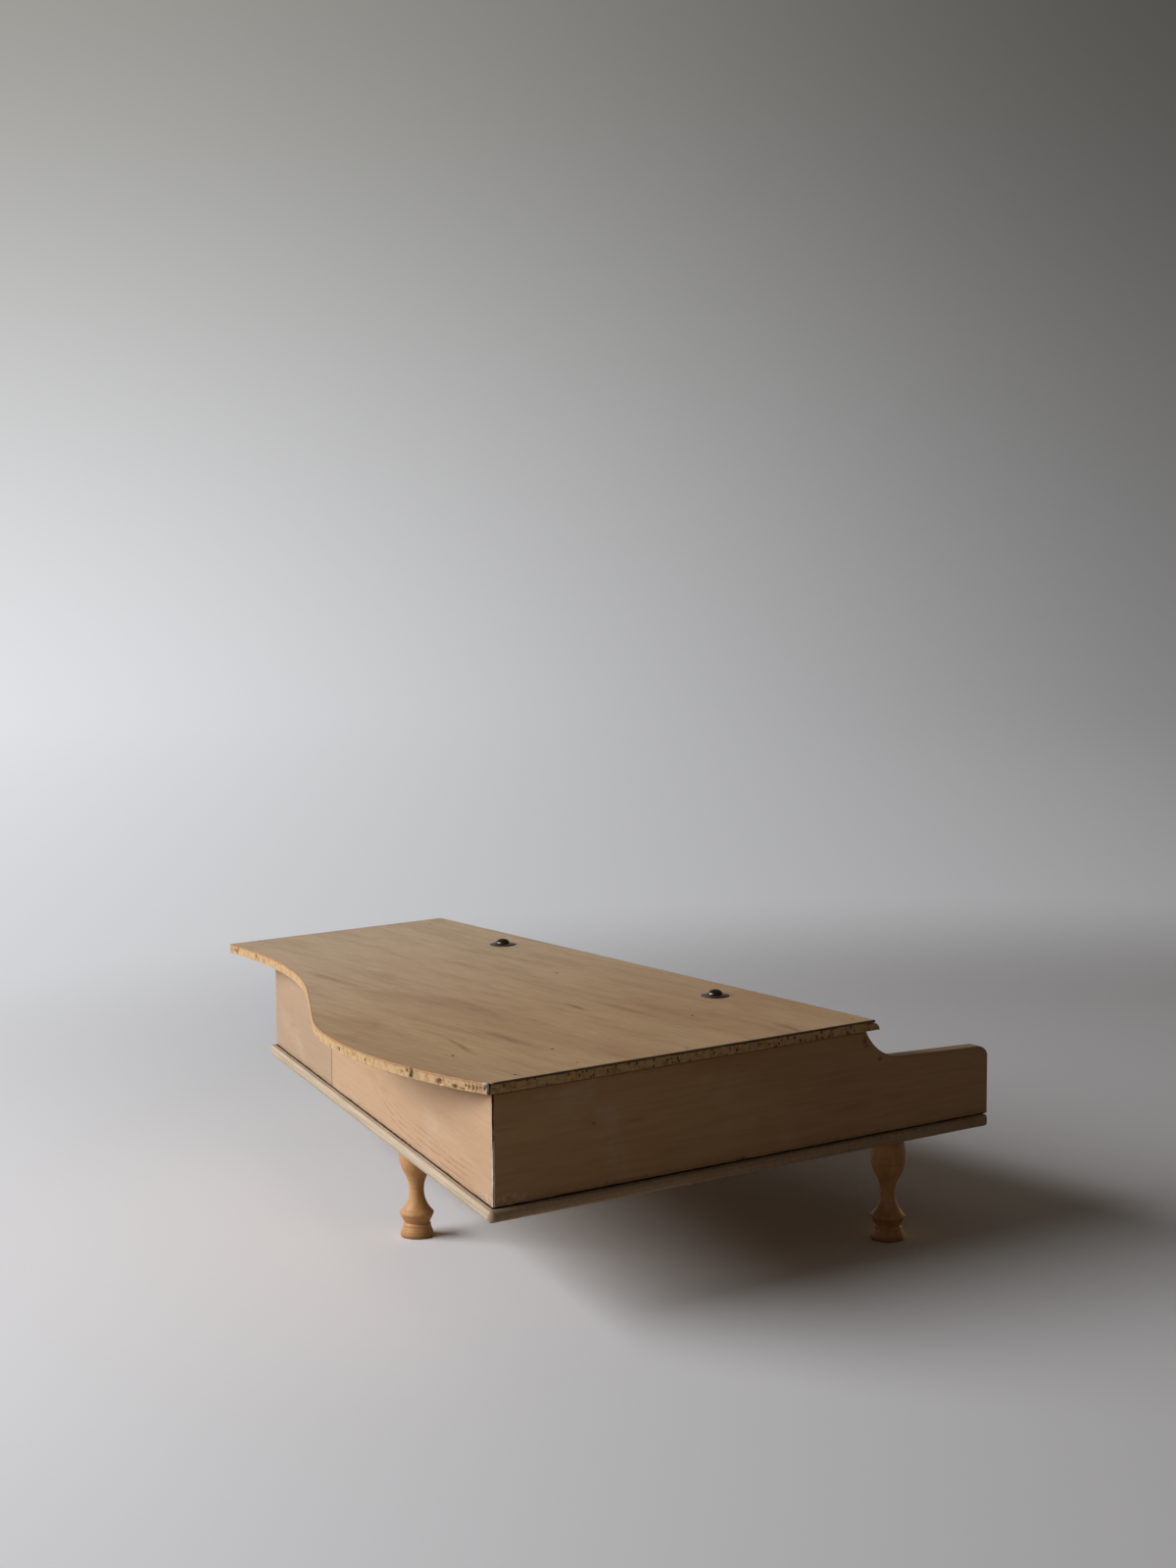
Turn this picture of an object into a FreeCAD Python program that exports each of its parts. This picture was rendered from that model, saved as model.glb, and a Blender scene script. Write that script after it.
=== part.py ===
import FreeCAD
import Part
import Sketcher
import math
import os

# Toy grand piano in raw wood: a low case on turned legs, a curved lid held by two domed bolts,
# and a two-octave keyboard whose hammers strike steel tone rods under the lid.
# The case frame has its zero at the cheek's front, the bass wall's outer face and the base's top:
# x runs to the treble side, y to the tail and z up. Placements move it to the part's own origin,
# which is under the middle of the whole piano, on the floor.

Vector = FreeCAD.Vector

sizes = [
    ("case_width", 353.0, "across the outer faces of the side walls"),
    ("bass_length", 294.0, "bass wall, from cheek front to tail corner"),
    ("treble_length", 193.0, "treble wall, from cheek front to rear corner"),
    ("wall", 8.0, "thickness of the case walls"),
    ("wall_height", 50.5, "case walls, from base to lid"),
    ("cheek_length", 79.3, "open key well, from cheek front to the full wall"),
    ("cheek_height", 36.0, "arm of the cheek at the foot of its cove"),
    ("cheek_drop", 2.0, "fall of the arm towards the front"),
    ("cheek_corner", 6.5, "rounding of the arm's front corner"),
    ("cove_reach", 23.5, "cove, from its foot on the arm to the full wall"),
    ("edge_round", 0.8, "softened edges of the case boards"),
    ("short_board", 107.0, "rear wall's short board, from the treble side to the seam"),
    ("cleat_width", 24.0, "block glued behind that seam"),
    ("cleat_thickness", 6.0, "depth of that block"),
    ("base_thickness", 5.5, "base board"),
    ("base_overhang", 3.5, "base board past the walls"),
    ("base_setback", 1.0, "base board behind the cheek fronts"),
    ("base_corner", 4.0, "corner rounding in plan"),
    ("base_round", 2.2, "rounding of the base's edges"),
    ("lid_thickness", 5.0, "lid board"),
    ("lid_overhang", 16.2, "lid past the treble wall"),
    ("lid_lip", 8.6, "lid past the full wall at the front"),
    ("lid_nose", 4.6, "depth of the lid's rounded front edge"),
    ("lid_quirk", 1.1, "step above that rounding"),
    ("lid_notch", 1.1, "groove under the lip of that step"),
    ("lid_toe", 0.4, "square edge below that rounding"),
    ("lid_treble_overhang", 18.5, "lid past the treble wall's rear corner"),
    ("lid_bass_overhang", 1.9, "lid past the tail corner"),
    ("lid_bulge", 9.5, "curve's highest point past its bass end"),
    ("shoulder_radius", 152.0, "tight curve at the lid's shoulder"),
    ("shoulder_place", 134.0, "end of that curve, from the bass side"),
    ("straight_run", 70.7, "straight edge between the lid's hollow and its shoulder"),
    ("tail_radius", 245.0, "wide curve along the tail"),
    ("bolt_spacing", 183.0, "between the two lid bolts"),
    ("bolt_diameter", 4.0, "shank of a lid bolt"),
    ("bolt_dome", 7.6, "diameter of the domed head"),
    ("dome_height", 2.3, "height of the domed head"),
    ("washer_diameter", 14.0, "cup washer"),
    ("washer_height", 0.9, "cup washer at its hub"),
    ("washer_rim", 0.5, "cup washer at its rim"),
    ("fit_gap", 0.1, "clearance all round a pin, rod or tenon, on the diameter"),
    ("leg_height", 52.0, "floor to base board"),
    ("leg_inset", 14.6, "front legs, from the outer wall faces"),
    ("leg_setback", 51.8, "front legs, behind the cheek fronts"),
    ("rear_leg_place", 158.6, "rear leg, from the bass side"),
    ("rear_leg_inset", 18.0, "rear leg, in front of the rear wall's face"),
    ("tenon_diameter", 8.0, "leg tenon in the base board"),
    ("foot_radius", 8.2, "turned foot"),
    ("foot_height", 1.4, "height of the foot's widest line"),
    ("groove_radius", 6.2, "bottom of the turned groove"),
    ("groove_height", 7.1, "height of that groove"),
    ("ring_radius", 8.35, "sharp ring above the groove"),
    ("ring_height", 12.2, "height of that ring"),
    ("neck_radius", 3.6, "narrowest place of a leg"),
    ("neck_height", 23.0, "height of the neck"),
    ("bulb_radius", 8.45, "widest place of a leg"),
    ("bulb_height", 40.5, "height of the bulb"),
    ("shoulder_top", 6.3, "radius of the leg under the base"),
    ("key_block", 5.0, "room at each end of the keys"),
    ("key_gap", 0.8, "between neighbouring keys"),
    ("key_bottom", 10.6, "underside of the keys above the base"),
    ("key_thickness", 8.0, "natural keys"),
    ("key_front", 12.0, "key fronts behind the cheek fronts"),
    ("key_head", 22.0, "full-width head of a natural"),
    ("key_round", 1.2, "rounding of a natural's front edge"),
    ("tail_clearance", 15.0, "key tails short of the treble rear corner"),
    ("sharp_gap", 1.2, "sharps behind the naturals' heads"),
    ("sharp_rise", 8.0, "sharps above the naturals"),
    ("sharp_width", 9.4, "cap of a sharp"),
    ("sharp_slope", 3.0, "lean of the cap's front"),
    ("sharp_step", 2.0, "lever of a sharp below the naturals' tops"),
    ("slip_thickness", 4.0, "key slip"),
    ("slip_height", 13.5, "key slip"),
    ("slip_setback", 6.0, "key slip behind the cheek fronts"),
    ("fallboard_thickness", 6.0, "fallboard"),
    ("fallboard_gap", 2.8, "fallboard above the keys"),
    ("fulcrum_setback", 13.3, "fulcrum in front of the full wall"),
    ("wire_diameter", 3.0, "fulcrum wire"),
    ("wire_drop", 0.8, "wire's centre under the keys"),
    ("rail_gap", 1.3, "balance rail under the keys"),
    ("rail_depth", 14.0, "front to back of the balance and guide rails"),
    ("guide_reach", 25.0, "guide pins behind the fulcrum"),
    ("pin_diameter", 2.0, "guide pin"),
    ("pin_rise", 6.0, "guide pin above the keys"),
    ("slot_length", 5.0, "pin's slot in a key, front to back"),
    ("slot_gap", 0.3, "pin's side clearance in that slot"),
    ("felt_thickness", 1.5, "felt strips"),
    ("felt_width", 8.0, "felt strips"),
    ("rest_gap", 0.1, "key tails above the rest felt"),
    ("dip", 5.2, "fall of a natural over the front felt"),
    ("sharp_dip", 3.2, "fall of a sharp over its own felt"),
    ("hammer_reach", 65.0, "hammer behind the fulcrum"),
    ("hammer_diameter", 7.0, "hammer head"),
    ("hammer_bevel", 1.4, "bevel of the hammer's striking end"),
    ("hammer_float", 1.2, "hammer head above its key"),
    ("hammer_stop", 7.25, "hammer short of its rod at rest"),
    ("spring_width", 4.0, "hammer's leaf spring"),
    ("spring_thickness", 0.6, "hammer's leaf spring"),
    ("spring_reach", 14.0, "hammer to the spring's seat"),
    ("spring_seat", 9.0, "length of that seat"),
    ("block_gap", 3.5, "tone block behind the fallboard"),
    ("block_depth", 14.0, "tone block, front to back"),
    ("block_height", 16.0, "tone block"),
    ("rod_diameter", 2.5, "tone rods"),
    ("rod_drop", 10.0, "rods below the lid"),
    ("rod_seat", 4.5, "rods inside the tone block"),
    ("rod_clear_bass", 28.0, "longest rod short of the rear wall"),
    ("rod_clear_treble", 10.0, "shortest rod short of the rear wall"),
]

naturals_in_octave = 7
octaves = 2
natural_count = naturals_in_octave * octaves + 1
rod_count = 12 * octaves + 1

doc = FreeCAD.newDocument("toy_piano")
sheet = doc.addObject("Spreadsheet::Sheet", "dims")
for row, (alias, number, note) in enumerate(sizes, start=1):
    sheet.set(f"A{row}", str(number))
    sheet.setAlias(f"A{row}", alias)
    sheet.set(f"B{row}", note)
doc.recompute()


class Size:
    """A length with its number and the sheet formula that it follows."""

    def __init__(self, number, formula):
        self.number = float(number)
        self.formula = formula

    def __add__(self, other):
        other = as_size(other)
        return Size(self.number + other.number, f"({self.formula} + {other.formula})")

    def __sub__(self, other):
        other = as_size(other)
        return Size(self.number - other.number, f"({self.formula} - {other.formula})")

    def __mul__(self, other):
        other = as_size(other)
        return Size(self.number * other.number, f"({self.formula} * {other.formula})")

    def __truediv__(self, other):
        other = as_size(other)
        return Size(self.number / other.number, f"({self.formula} / {other.formula})")

    def __neg__(self):
        return Size(-self.number, f"(0 - {self.formula})")

    def __pow__(self, power):
        return Size(self.number ** power, f"({self.formula} ^ {power:.6f})")

    def __radd__(self, other):
        return as_size(other) + self

    def __rsub__(self, other):
        return as_size(other) - self

    def __rmul__(self, other):
        return as_size(other) * self


def as_size(thing):
    return thing if isinstance(thing, Size) else Size(thing, f"{float(thing):.6f}")


def root(size):
    return Size(math.sqrt(size.number), f"sqrt({size.formula})")


def dim(alias):
    return Size(sheet.get(alias), f"dims.{alias}")


def bind(thing, prop, size):
    thing.setExpression(prop, as_size(size).formula)


# Places that several pieces share.
case_width = dim("case_width")
bass_length = dim("bass_length")
treble_length = dim("treble_length")
wall = dim("wall")
wall_height = dim("wall_height")
inner_width = case_width - wall * 2
rear_slope = (treble_length - bass_length) / case_width
rear_stretch = root(rear_slope * rear_slope + 1)
lid_front = dim("cheek_length") - dim("lid_lip")
lid_width = case_width + dim("lid_overhang")
lid_bass_end = bass_length + dim("lid_bass_overhang") - lid_front
lid_treble_end = treble_length + dim("lid_treble_overhang") - lid_front
lid_depth = lid_bass_end + dim("lid_bulge")

key_pitch = (inner_width - dim("key_block") * 2) / natural_count
keys_left = wall + dim("key_block")
key_bottom = dim("key_bottom")
key_top = key_bottom + dim("key_thickness")
fulcrum = dim("cheek_length") - dim("fulcrum_setback")
wire_height = key_bottom - dim("wire_drop")
fallboard_front = dim("cheek_length") + dim("rest_gap")
block_front = fallboard_front + dim("fallboard_thickness") + dim("block_gap")
block_rear = block_front + dim("block_depth")
rod_height = wall_height - dim("rod_drop")


def rear_face(x, depth=0):
    """Place along y of the rear wall's face, a depth inside its outer one."""
    return bass_length + rear_slope * x - rear_stretch * depth


key_tail = rear_face(case_width - wall, wall) - dim("tail_clearance")

# Part frame: middle of the whole outline in plan, floor level in height.
shift = (
    (dim("base_overhang") - lid_width) / 2,
    (lid_front + lid_depth) * -0.5,
    dim("leg_height") + dim("base_thickness"),
)


def place(thing, x=0, y=0, z=0):
    """Put a sub-part's own zero at a point of the case frame."""
    for axis, offset, local in zip("xyz", shift, (x, y, z)):
        bind(thing, f"Placement.Base.{axis}", offset + local)


nodes = []


def node(thing, name):
    thing.Label = name
    nodes.append(thing)
    return thing


def new_body(name):
    body = doc.addObject("PartDesign::Body", "Body")
    body.Label = name
    return body


def sketch_on(body, plane):
    sketch = body.newObject("Sketcher::SketchObject", "Sketch")
    support = next(part for part in body.Origin.OriginFeatures if part.Role == plane)
    sketch.AttachmentSupport = (support, [""])
    sketch.MapMode = "FlatFace"
    return sketch


def pin_point(sketch, piece, end, x, y):
    """Hold one end of a sketch piece at a place given by two sizes."""
    for kind, size in (("DistanceX", as_size(x)), ("DistanceY", as_size(y))):
        held = sketch.addConstraint(Sketcher.Constraint(kind, -1, 1, piece, end, size.number))
        bind(sketch, f"Constraints[{held}]", size)


def set_radius(sketch, piece, radius):
    held = sketch.addConstraint(Sketcher.Constraint("Radius", piece, radius.number))
    bind(sketch, f"Constraints[{held}]", radius)


def arc_between(start, finish, radius, turn):
    """Arc of less than a half circle from start to finish; turn is 1 to the left, -1 to the right."""
    chord = finish - start
    rise = math.sqrt(max(radius ** 2 - chord.Length ** 2 / 4, 0))
    left = Vector(-chord.y, chord.x, 0).normalize()
    centre = (start + finish) / 2 + left * rise * turn
    ends = (start, finish) if turn > 0 else (finish, start)
    angles = [math.atan2(end.y - centre.y, end.x - centre.x) for end in ends]
    return Part.ArcOfCircle(Part.Circle(centre, Vector(0, 0, 1), radius), *angles)


def outline(sketch, corners):
    """Closed outline: a corner is (x, y), or (x, y, radius, turn) where an arc leads on from it."""
    pieces = []
    points = [Vector(as_size(corner[0]).number, as_size(corner[1]).number, 0) for corner in corners]
    for index, corner in enumerate(corners):
        start = points[index]
        finish = points[(index + 1) % len(points)]
        if len(corner) == 2:
            piece = sketch.addGeometry(Part.LineSegment(start, finish), False)
            pieces.append((piece, 1, 2))
            continue
        radius, turn = as_size(corner[2]), corner[3]
        piece = sketch.addGeometry(arc_between(start, finish, radius.number, turn), False)
        pieces.append((piece, 1, 2) if turn > 0 else (piece, 2, 1))
    for index, (piece, first, last) in enumerate(pieces):
        after, after_first, _ = pieces[(index + 1) % len(pieces)]
        sketch.addConstraint(Sketcher.Constraint("Coincident", piece, last, after, after_first))
    for (piece, first, _), corner in zip(pieces, corners):
        pin_point(sketch, piece, first, corner[0], corner[1])
        if len(corner) > 2:
            set_radius(sketch, piece, as_size(corner[2]))


def circle(sketch, x, y, radius):
    x, y, radius = as_size(x), as_size(y), as_size(radius)
    ring = Part.Circle(Vector(x.number, y.number, 0), Vector(0, 0, 1), radius.number)
    piece = sketch.addGeometry(ring, False)
    pin_point(sketch, piece, 3, x, y)
    set_radius(sketch, piece, radius)


def pad(body, sketch, length, middle=False):
    feature = body.newObject("PartDesign::Pad", "Pad")
    feature.Profile = sketch
    feature.Midplane = middle
    bind(feature, "Length", length)
    return feature


def cut_through(body, sketch, forward=True):
    """Pocket along the sketch's own normal, or against it, through the whole body."""
    feature = body.newObject("PartDesign::Pocket", "Pocket")
    feature.Profile = sketch
    feature.Type = "ThroughAll"
    feature.Reversed = forward
    return feature


def spin(body, sketch):
    feature = body.newObject("PartDesign::Revolution", "Revolution")
    feature.Profile = sketch
    feature.ReferenceAxis = (sketch, ["V_Axis"])
    feature.Angle = 360
    return feature


def dress(body, kind, radius, wanted):
    """Fillet or chamfer the edges of the body whose middle point, length and curve are wanted."""
    doc.recompute()
    base = body.Tip
    names = []
    for index, edge in enumerate(base.Shape.Edges, start=1):
        middle = edge.valueAt((edge.FirstParameter + edge.LastParameter) / 2)
        if wanted(middle, edge):
            names.append(f"Edge{index}")
    feature = body.newObject(f"PartDesign::{kind}", kind)
    feature.Base = (base, names)
    bind(feature, "Radius" if kind == "Fillet" else "Size", radius)
    return feature


def near(first, second):
    return abs(first - as_size(second).number) < 0.01


def block(name, corner, extent):
    """Plain board or strip from a corner of the case frame."""
    box = doc.addObject("Part::Box", "Box")
    box.Label = name
    for prop, size in zip(("Length", "Width", "Height"), extent):
        bind(box, prop, size)
    place(box, *corner)
    return box


def rod(name, radius, length, foot, along=(0, 0, 1)):
    """Round bar from a foot point of the case frame."""
    bar = doc.addObject("Part::Cylinder", "Cylinder")
    bar.Label = name
    bar.Placement.Rotation = FreeCAD.Rotation(Vector(0, 0, 1), Vector(*along))
    bind(bar, "Radius", radius)
    bind(bar, "Height", length)
    place(bar, *foot)
    return bar


def group(name, members):
    compound = doc.addObject("Part::Compound", "Compound")
    compound.Links = members
    return node(compound, name)


# Base board and the legs that stand under it.
leg_places = {
    "leg_front_bass": (dim("leg_inset"), dim("leg_setback")),
    "leg_front_treble": (case_width - dim("leg_inset"), dim("leg_setback")),
    "leg_rear": (dim("rear_leg_place"), rear_face(dim("rear_leg_place"), dim("rear_leg_inset"))),
}


def base_board():
    over = dim("base_overhang")
    thick = dim("base_thickness")
    front = dim("base_setback")
    body = new_body("base_board")
    plan = sketch_on(body, "XY_Plane")
    right = case_width + over
    outline(plan, [
        (-over, front),
        (right, front),
        (right, rear_face(right, -over)),
        (-over, rear_face(-over, -over)),
    ])
    pad(body, plan, thick)
    dress(body, "Fillet", dim("base_corner"), lambda middle, edge: near(middle.z, thick / 2))
    dress(body, "Fillet", dim("base_round"), lambda middle, edge: not near(middle.z, thick / 2))
    holes = sketch_on(body, "XY_Plane")
    for x, y in leg_places.values():
        circle(holes, x, y, (dim("tenon_diameter") + dim("fit_gap")) / 2)
    cut_through(body, holes)
    place(body, z=-thick)
    return node(body, "base_board")


def arc_radius(width, height):
    """Radius of an arc that starts along the height and ends a width aside."""
    return (width * width + height * height) / (width * 2)


def leg(name, x, y):
    tenon = dim("tenon_diameter") / 2
    top = dim("leg_height")
    foot, groove, ring = dim("foot_radius"), dim("groove_radius"), dim("ring_radius")
    neck, bulb, shoulder = dim("neck_radius"), dim("bulb_radius"), dim("shoulder_top")
    neck_z, bulb_z, ring_z = dim("neck_height"), dim("bulb_height"), dim("ring_height")
    sweep = arc_radius(bulb - neck, bulb_z - neck_z) / 2
    body = new_body(name)
    half = sketch_on(body, "XZ_Plane")
    outline(half, [
        (0, 0),
        (foot - dim("foot_height") / 4, 0),
        (foot, dim("foot_height")),
        (groove, dim("groove_height")),
        (ring, ring_z, arc_radius(ring - neck, neck_z - ring_z), -1),
        (neck, neck_z, sweep, -1),
        ((neck + bulb) / 2, (neck_z + bulb_z) / 2, sweep, 1),
        (bulb, bulb_z, arc_radius(bulb - shoulder, top - bulb_z), 1),
        (shoulder, top),
        (tenon, top),
        (tenon, top + dim("base_thickness")),
        (0, top + dim("base_thickness")),
    ])
    spin(body, half)
    place(body, x, y, -dim("base_thickness") - top)
    return node(body, name)


# Case walls.
def side_wall(name, length, x, mitre):
    """Cheek, cove and full wall in one board, with its rear end mitred to the rear wall.

    The cove is one arc that leaves the arm level and ends at the top of the full wall.
    """
    cove_foot = dim("cheek_length") - dim("cove_reach")
    hollow = arc_radius(wall_height - dim("cheek_height"), dim("cove_reach"))
    corner = dim("cheek_corner")
    arm = dim("cheek_height") - dim("cheek_drop")
    body = new_body(name)
    side = sketch_on(body, "YZ_Plane")
    outline(side, [
        (0, 0),
        (length, 0),
        (length, wall_height),
        (dim("cheek_length"), wall_height, hollow, -1),
        (cove_foot, dim("cheek_height")),
        (corner, arm, corner, 1),
        (0, arm - corner),
    ])
    pad(body, side, wall)
    wedge = sketch_on(body, "XY_Plane")
    outline(wedge, mitre)
    cut_through(body, wedge)
    dress(body, "Fillet", dim("edge_round"), lambda middle, edge: (
        middle.y < dim("cheek_length").number
        and 0.01 < middle.z < wall_height.number - 0.01
        and (near(middle.x, 0) or near(middle.x, wall))
    ))
    place(body, x=x)
    return node(body, name)


def rear_wall(name, start, finish):
    """Board of the slanting rear wall between two plan lines, each from outer to inner face."""
    body = new_body(name)
    plan = sketch_on(body, "XY_Plane")
    outline(plan, [start[0], start[1], finish[1], finish[0]])
    pad(body, plan, wall_height)
    place(body)
    return node(body, name)


def across(x, depth):
    """Point that lies a depth inside the rear wall's outer face, square to it from place x."""
    inward = as_size(depth) / rear_stretch
    return (x + rear_slope * inward, rear_face(x) - inward)


def case():
    treble_inner = case_width - wall
    bass_mitre = [(0, rear_face(0)), (wall, rear_face(wall, wall))]
    treble_mitre = [(case_width, rear_face(case_width)), (treble_inner, rear_face(treble_inner, wall))]
    seam = case_width - dim("short_board")
    seam_line = [across(seam, 0), across(seam, wall)]
    spare = bass_length + wall
    side_wall("bass_wall", bass_length, 0, [bass_mitre[0], bass_mitre[1], (wall, spare), (0, spare)])
    inner_end = rear_face(treble_inner, wall)
    side_wall("treble_wall", treble_length, treble_inner, [
        (0, inner_end), (wall, treble_length), (wall, spare), (0, spare)])
    rear_wall("rear_wall_long", bass_mitre, seam_line)
    rear_wall("rear_wall_short", seam_line, treble_mitre)
    half = dim("cleat_width") / 2
    deep = wall + dim("cleat_thickness")
    rear_wall("seam_cleat", [across(seam - half, wall), across(seam - half, deep)],
              [across(seam + half, wall), across(seam + half, deep)])


# Lid, with its curved rear edge drawn as tangent arcs.
def lid():
    """From the treble side the edge is hollow, then straight, then a tight and a wide round curve."""
    shoulder, tail = dim("shoulder_radius"), dim("tail_radius")
    reach, straight_run = dim("shoulder_place"), dim("straight_run")
    width, bulge = lid_width.number, dim("lid_bulge").number
    treble_end = Vector(width, lid_treble_end.number, 0)
    bass_end = Vector(0, lid_bass_end.number, 0)
    crest_place = math.sqrt(2 * tail.number * bulge - bulge ** 2)
    tail_centre = Vector(crest_place, lid_depth.number - tail.number, 0)
    aside = reach.number - crest_place
    enter_tail = tail_centre + Vector(aside, math.sqrt(tail.number ** 2 - aside ** 2), 0)
    tight_centre = tail_centre + (enter_tail - tail_centre) * (1 - shoulder.number / tail.number)
    span = width - tight_centre.x
    rise = tight_centre.y + shoulder.number - treble_end.y
    slant = 2 * math.atan2(rise, span + straight_run.number)
    hollow_radius = (span - straight_run.number * math.cos(slant)) / math.sin(slant) - shoulder.number
    leave_hollow = treble_end + Vector(-math.sin(slant), 1 - math.cos(slant), 0) * hollow_radius
    enter_shoulder = leave_hollow + Vector(-math.cos(slant), math.sin(slant), 0) * straight_run.number

    body = new_body("lid")
    plan = sketch_on(body, "XY_Plane")
    corner = Vector(0, 0, 0)
    front_end = Vector(width, 0, 0)
    pieces = [
        Part.LineSegment(corner, front_end),
        Part.LineSegment(front_end, treble_end),
        arc_between(treble_end, leave_hollow, hollow_radius, -1),
        Part.LineSegment(leave_hollow, enter_shoulder),
        arc_between(enter_shoulder, enter_tail, shoulder.number, 1),
        arc_between(enter_tail, bass_end, tail.number, 1),
        Part.LineSegment(bass_end, corner),
    ]
    front, side, hollow, straight, tight, wide, bass = plan.addGeometry(pieces, False)
    rules = [
        ("Coincident", front, 1, -1, 1),
        ("Coincident", front, 2, side, 1),
        ("Coincident", side, 2, hollow, 2),
        ("Tangent", hollow, 1, straight, 1),
        ("Tangent", straight, 2, tight, 1),
        ("Tangent", tight, 2, wide, 1),
        ("Coincident", wide, 2, bass, 1),
        ("Coincident", bass, 2, front, 1),
        ("Vertical", hollow, 3, side, 2),
    ]
    for rule in rules:
        plan.addConstraint(Sketcher.Constraint(*rule))
    pin_point(plan, front, 2, lid_width, 0)
    pin_point(plan, side, 2, lid_width, lid_treble_end)
    pin_point(plan, bass, 1, 0, lid_bass_end)
    set_radius(plan, tight, shoulder)
    set_radius(plan, wide, tail)
    crest = lid_depth - tail
    held = plan.addConstraint(Sketcher.Constraint("DistanceY", -1, 1, wide, 3, crest.number))
    bind(plan, f"Constraints[{held}]", crest)
    met = plan.addConstraint(Sketcher.Constraint("DistanceX", -1, 1, wide, 1, reach.number))
    bind(plan, f"Constraints[{met}]", reach)
    run = plan.addConstraint(Sketcher.Constraint("Distance", straight, straight_run.number))
    bind(plan, f"Constraints[{run}]", straight_run)
    thick = dim("lid_thickness")
    pad(body, plan, thick)
    nose, toe = dim("lid_nose"), dim("lid_toe")
    crown = thick - dim("lid_quirk")
    front_cut = sketch_on(body, "YZ_Plane")
    outline(front_cut, [
        (0, toe, arc_radius(nose, crown - toe), -1),
        (nose, crown),
        (nose + dim("lid_notch"), crown + dim("lid_quirk") / 4),
        (nose, crown + dim("lid_quirk") / 2),
        (nose, thick * 2),
        (-nose, thick * 2),
        (-nose, toe),
    ])
    cut_through(body, front_cut)
    holes = sketch_on(body, "XY_Plane")
    for x, y in bolt_places:
        circle(holes, x, y - lid_front, (dim("bolt_diameter") + dim("fit_gap")) / 2)
    cut_through(body, holes)
    place(body, y=lid_front, z=wall_height)
    return node(body, "lid")


# Lid bolts, their cup washers, the tone block that they carry and its rods.
bolt_middle = block_front + dim("block_depth") / 2
bolt_places = [
    ((lid_width - dim("bolt_spacing")) / 2, bolt_middle),
    ((lid_width + dim("bolt_spacing")) / 2, bolt_middle),
]


def lid_bolt(name, x, y):
    """Domed bolt: its zero is the seat of the head on the washer."""
    shank, dome = dim("bolt_diameter") / 2, dim("bolt_dome") / 2
    high = dim("dome_height")
    below = dim("washer_height") + dim("lid_thickness") + dim("block_height")
    body = new_body(name)
    half = sketch_on(body, "XZ_Plane")
    outline(half, [
        (0, -below),
        (shank, -below),
        (shank, 0),
        (dome, 0, (dome * dome + high * high) / (high * 2), 1),
        (0, high),
    ])
    spin(body, half)
    place(body, x, y, wall_height + dim("lid_thickness") + dim("washer_height"))
    return body


def cup_washer(name, x, y):
    bore = (dim("bolt_diameter") + dim("fit_gap")) / 2
    hub, edge = dim("bolt_dome") / 2 + dim("washer_rim"), dim("washer_diameter") / 2
    body = new_body(name)
    half = sketch_on(body, "XZ_Plane")
    outline(half, [
        (bore, 0),
        (edge, 0),
        (edge, dim("washer_rim")),
        (hub, dim("washer_height")),
        (bore, dim("washer_height")),
    ])
    spin(body, half)
    place(body, x, y, wall_height + dim("lid_thickness"))
    return body


def tail_slot(index):
    """Left end and width of a key's slot across the key tails, from the first key's left side."""
    octave, step = divmod(index, 12)
    left = key_pitch * (naturals_in_octave * octave)
    if index == rod_count - 1:
        return left, key_pitch
    narrow = key_pitch * 3 / 5
    wide = key_pitch * 4 / 7
    if step < 5:
        return left + narrow * step, narrow
    return left + key_pitch * 3 + wide * (step - 5), wide


def tail_middle(index):
    left, width = tail_slot(index)
    return keys_left + left + width / 2


def tone_block():
    depth, high = dim("block_depth"), dim("block_height")
    body = new_body("tone_block")
    end = sketch_on(body, "YZ_Plane")
    outline(end, [(0, 0), (depth, 0), (depth, high), (0, high)])
    pad(body, end, inner_width - dim("key_block") * 2)
    seats = sketch_on(body, "XZ_Plane")
    for index in range(rod_count):
        middle = tail_middle(index) - keys_left
        circle(seats, middle, rod_height - wall_height + high, (dim("rod_diameter") + dim("fit_gap")) / 2)
    seats.AttachmentOffset = FreeCAD.Placement(Vector(0, 0, -depth.number), FreeCAD.Rotation())
    bind(seats, "AttachmentOffset.Base.z", -depth)
    drill = body.newObject("PartDesign::Pocket", "Pocket")
    drill.Profile = seats
    drill.Reversed = True
    bind(drill, "Length", dim("rod_seat"))
    taps = sketch_on(body, "XY_Plane")
    for x, y in bolt_places:
        circle(taps, x - keys_left, y - block_front, (dim("bolt_diameter") + dim("fit_gap")) / 2)
    cut_through(body, taps)
    place(body, keys_left, block_front, wall_height - high)
    return node(body, "tone_block")


def tone_rods():
    """Steel rods whose lengths fall evenly in pitch from the bass to the treble end."""
    longest = rear_face(wall, wall) - block_rear - dim("rod_clear_bass")
    shortest = rear_face(case_width - wall, wall) - block_rear - dim("rod_clear_treble")
    rods = []
    for index in range(rod_count):
        share = index / (rod_count - 1)
        length = longest ** (1 - share) * shortest ** share + dim("rod_seat")
        foot = (tail_middle(index), block_rear - dim("rod_seat"), rod_height)
        rods.append(rod(f"tone_rod_{index + 1:02d}", dim("rod_diameter") / 2, length, foot, (0, 1, 0)))
    return group("tone_rods", rods)


# Key frame: rails, felts, fulcrum wire, guide pins and the boards round the keys.
block_width = dim("key_block") - dim("key_gap") / 2
rail_left = wall + block_width
rail_width = inner_width - block_width * 2


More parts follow.
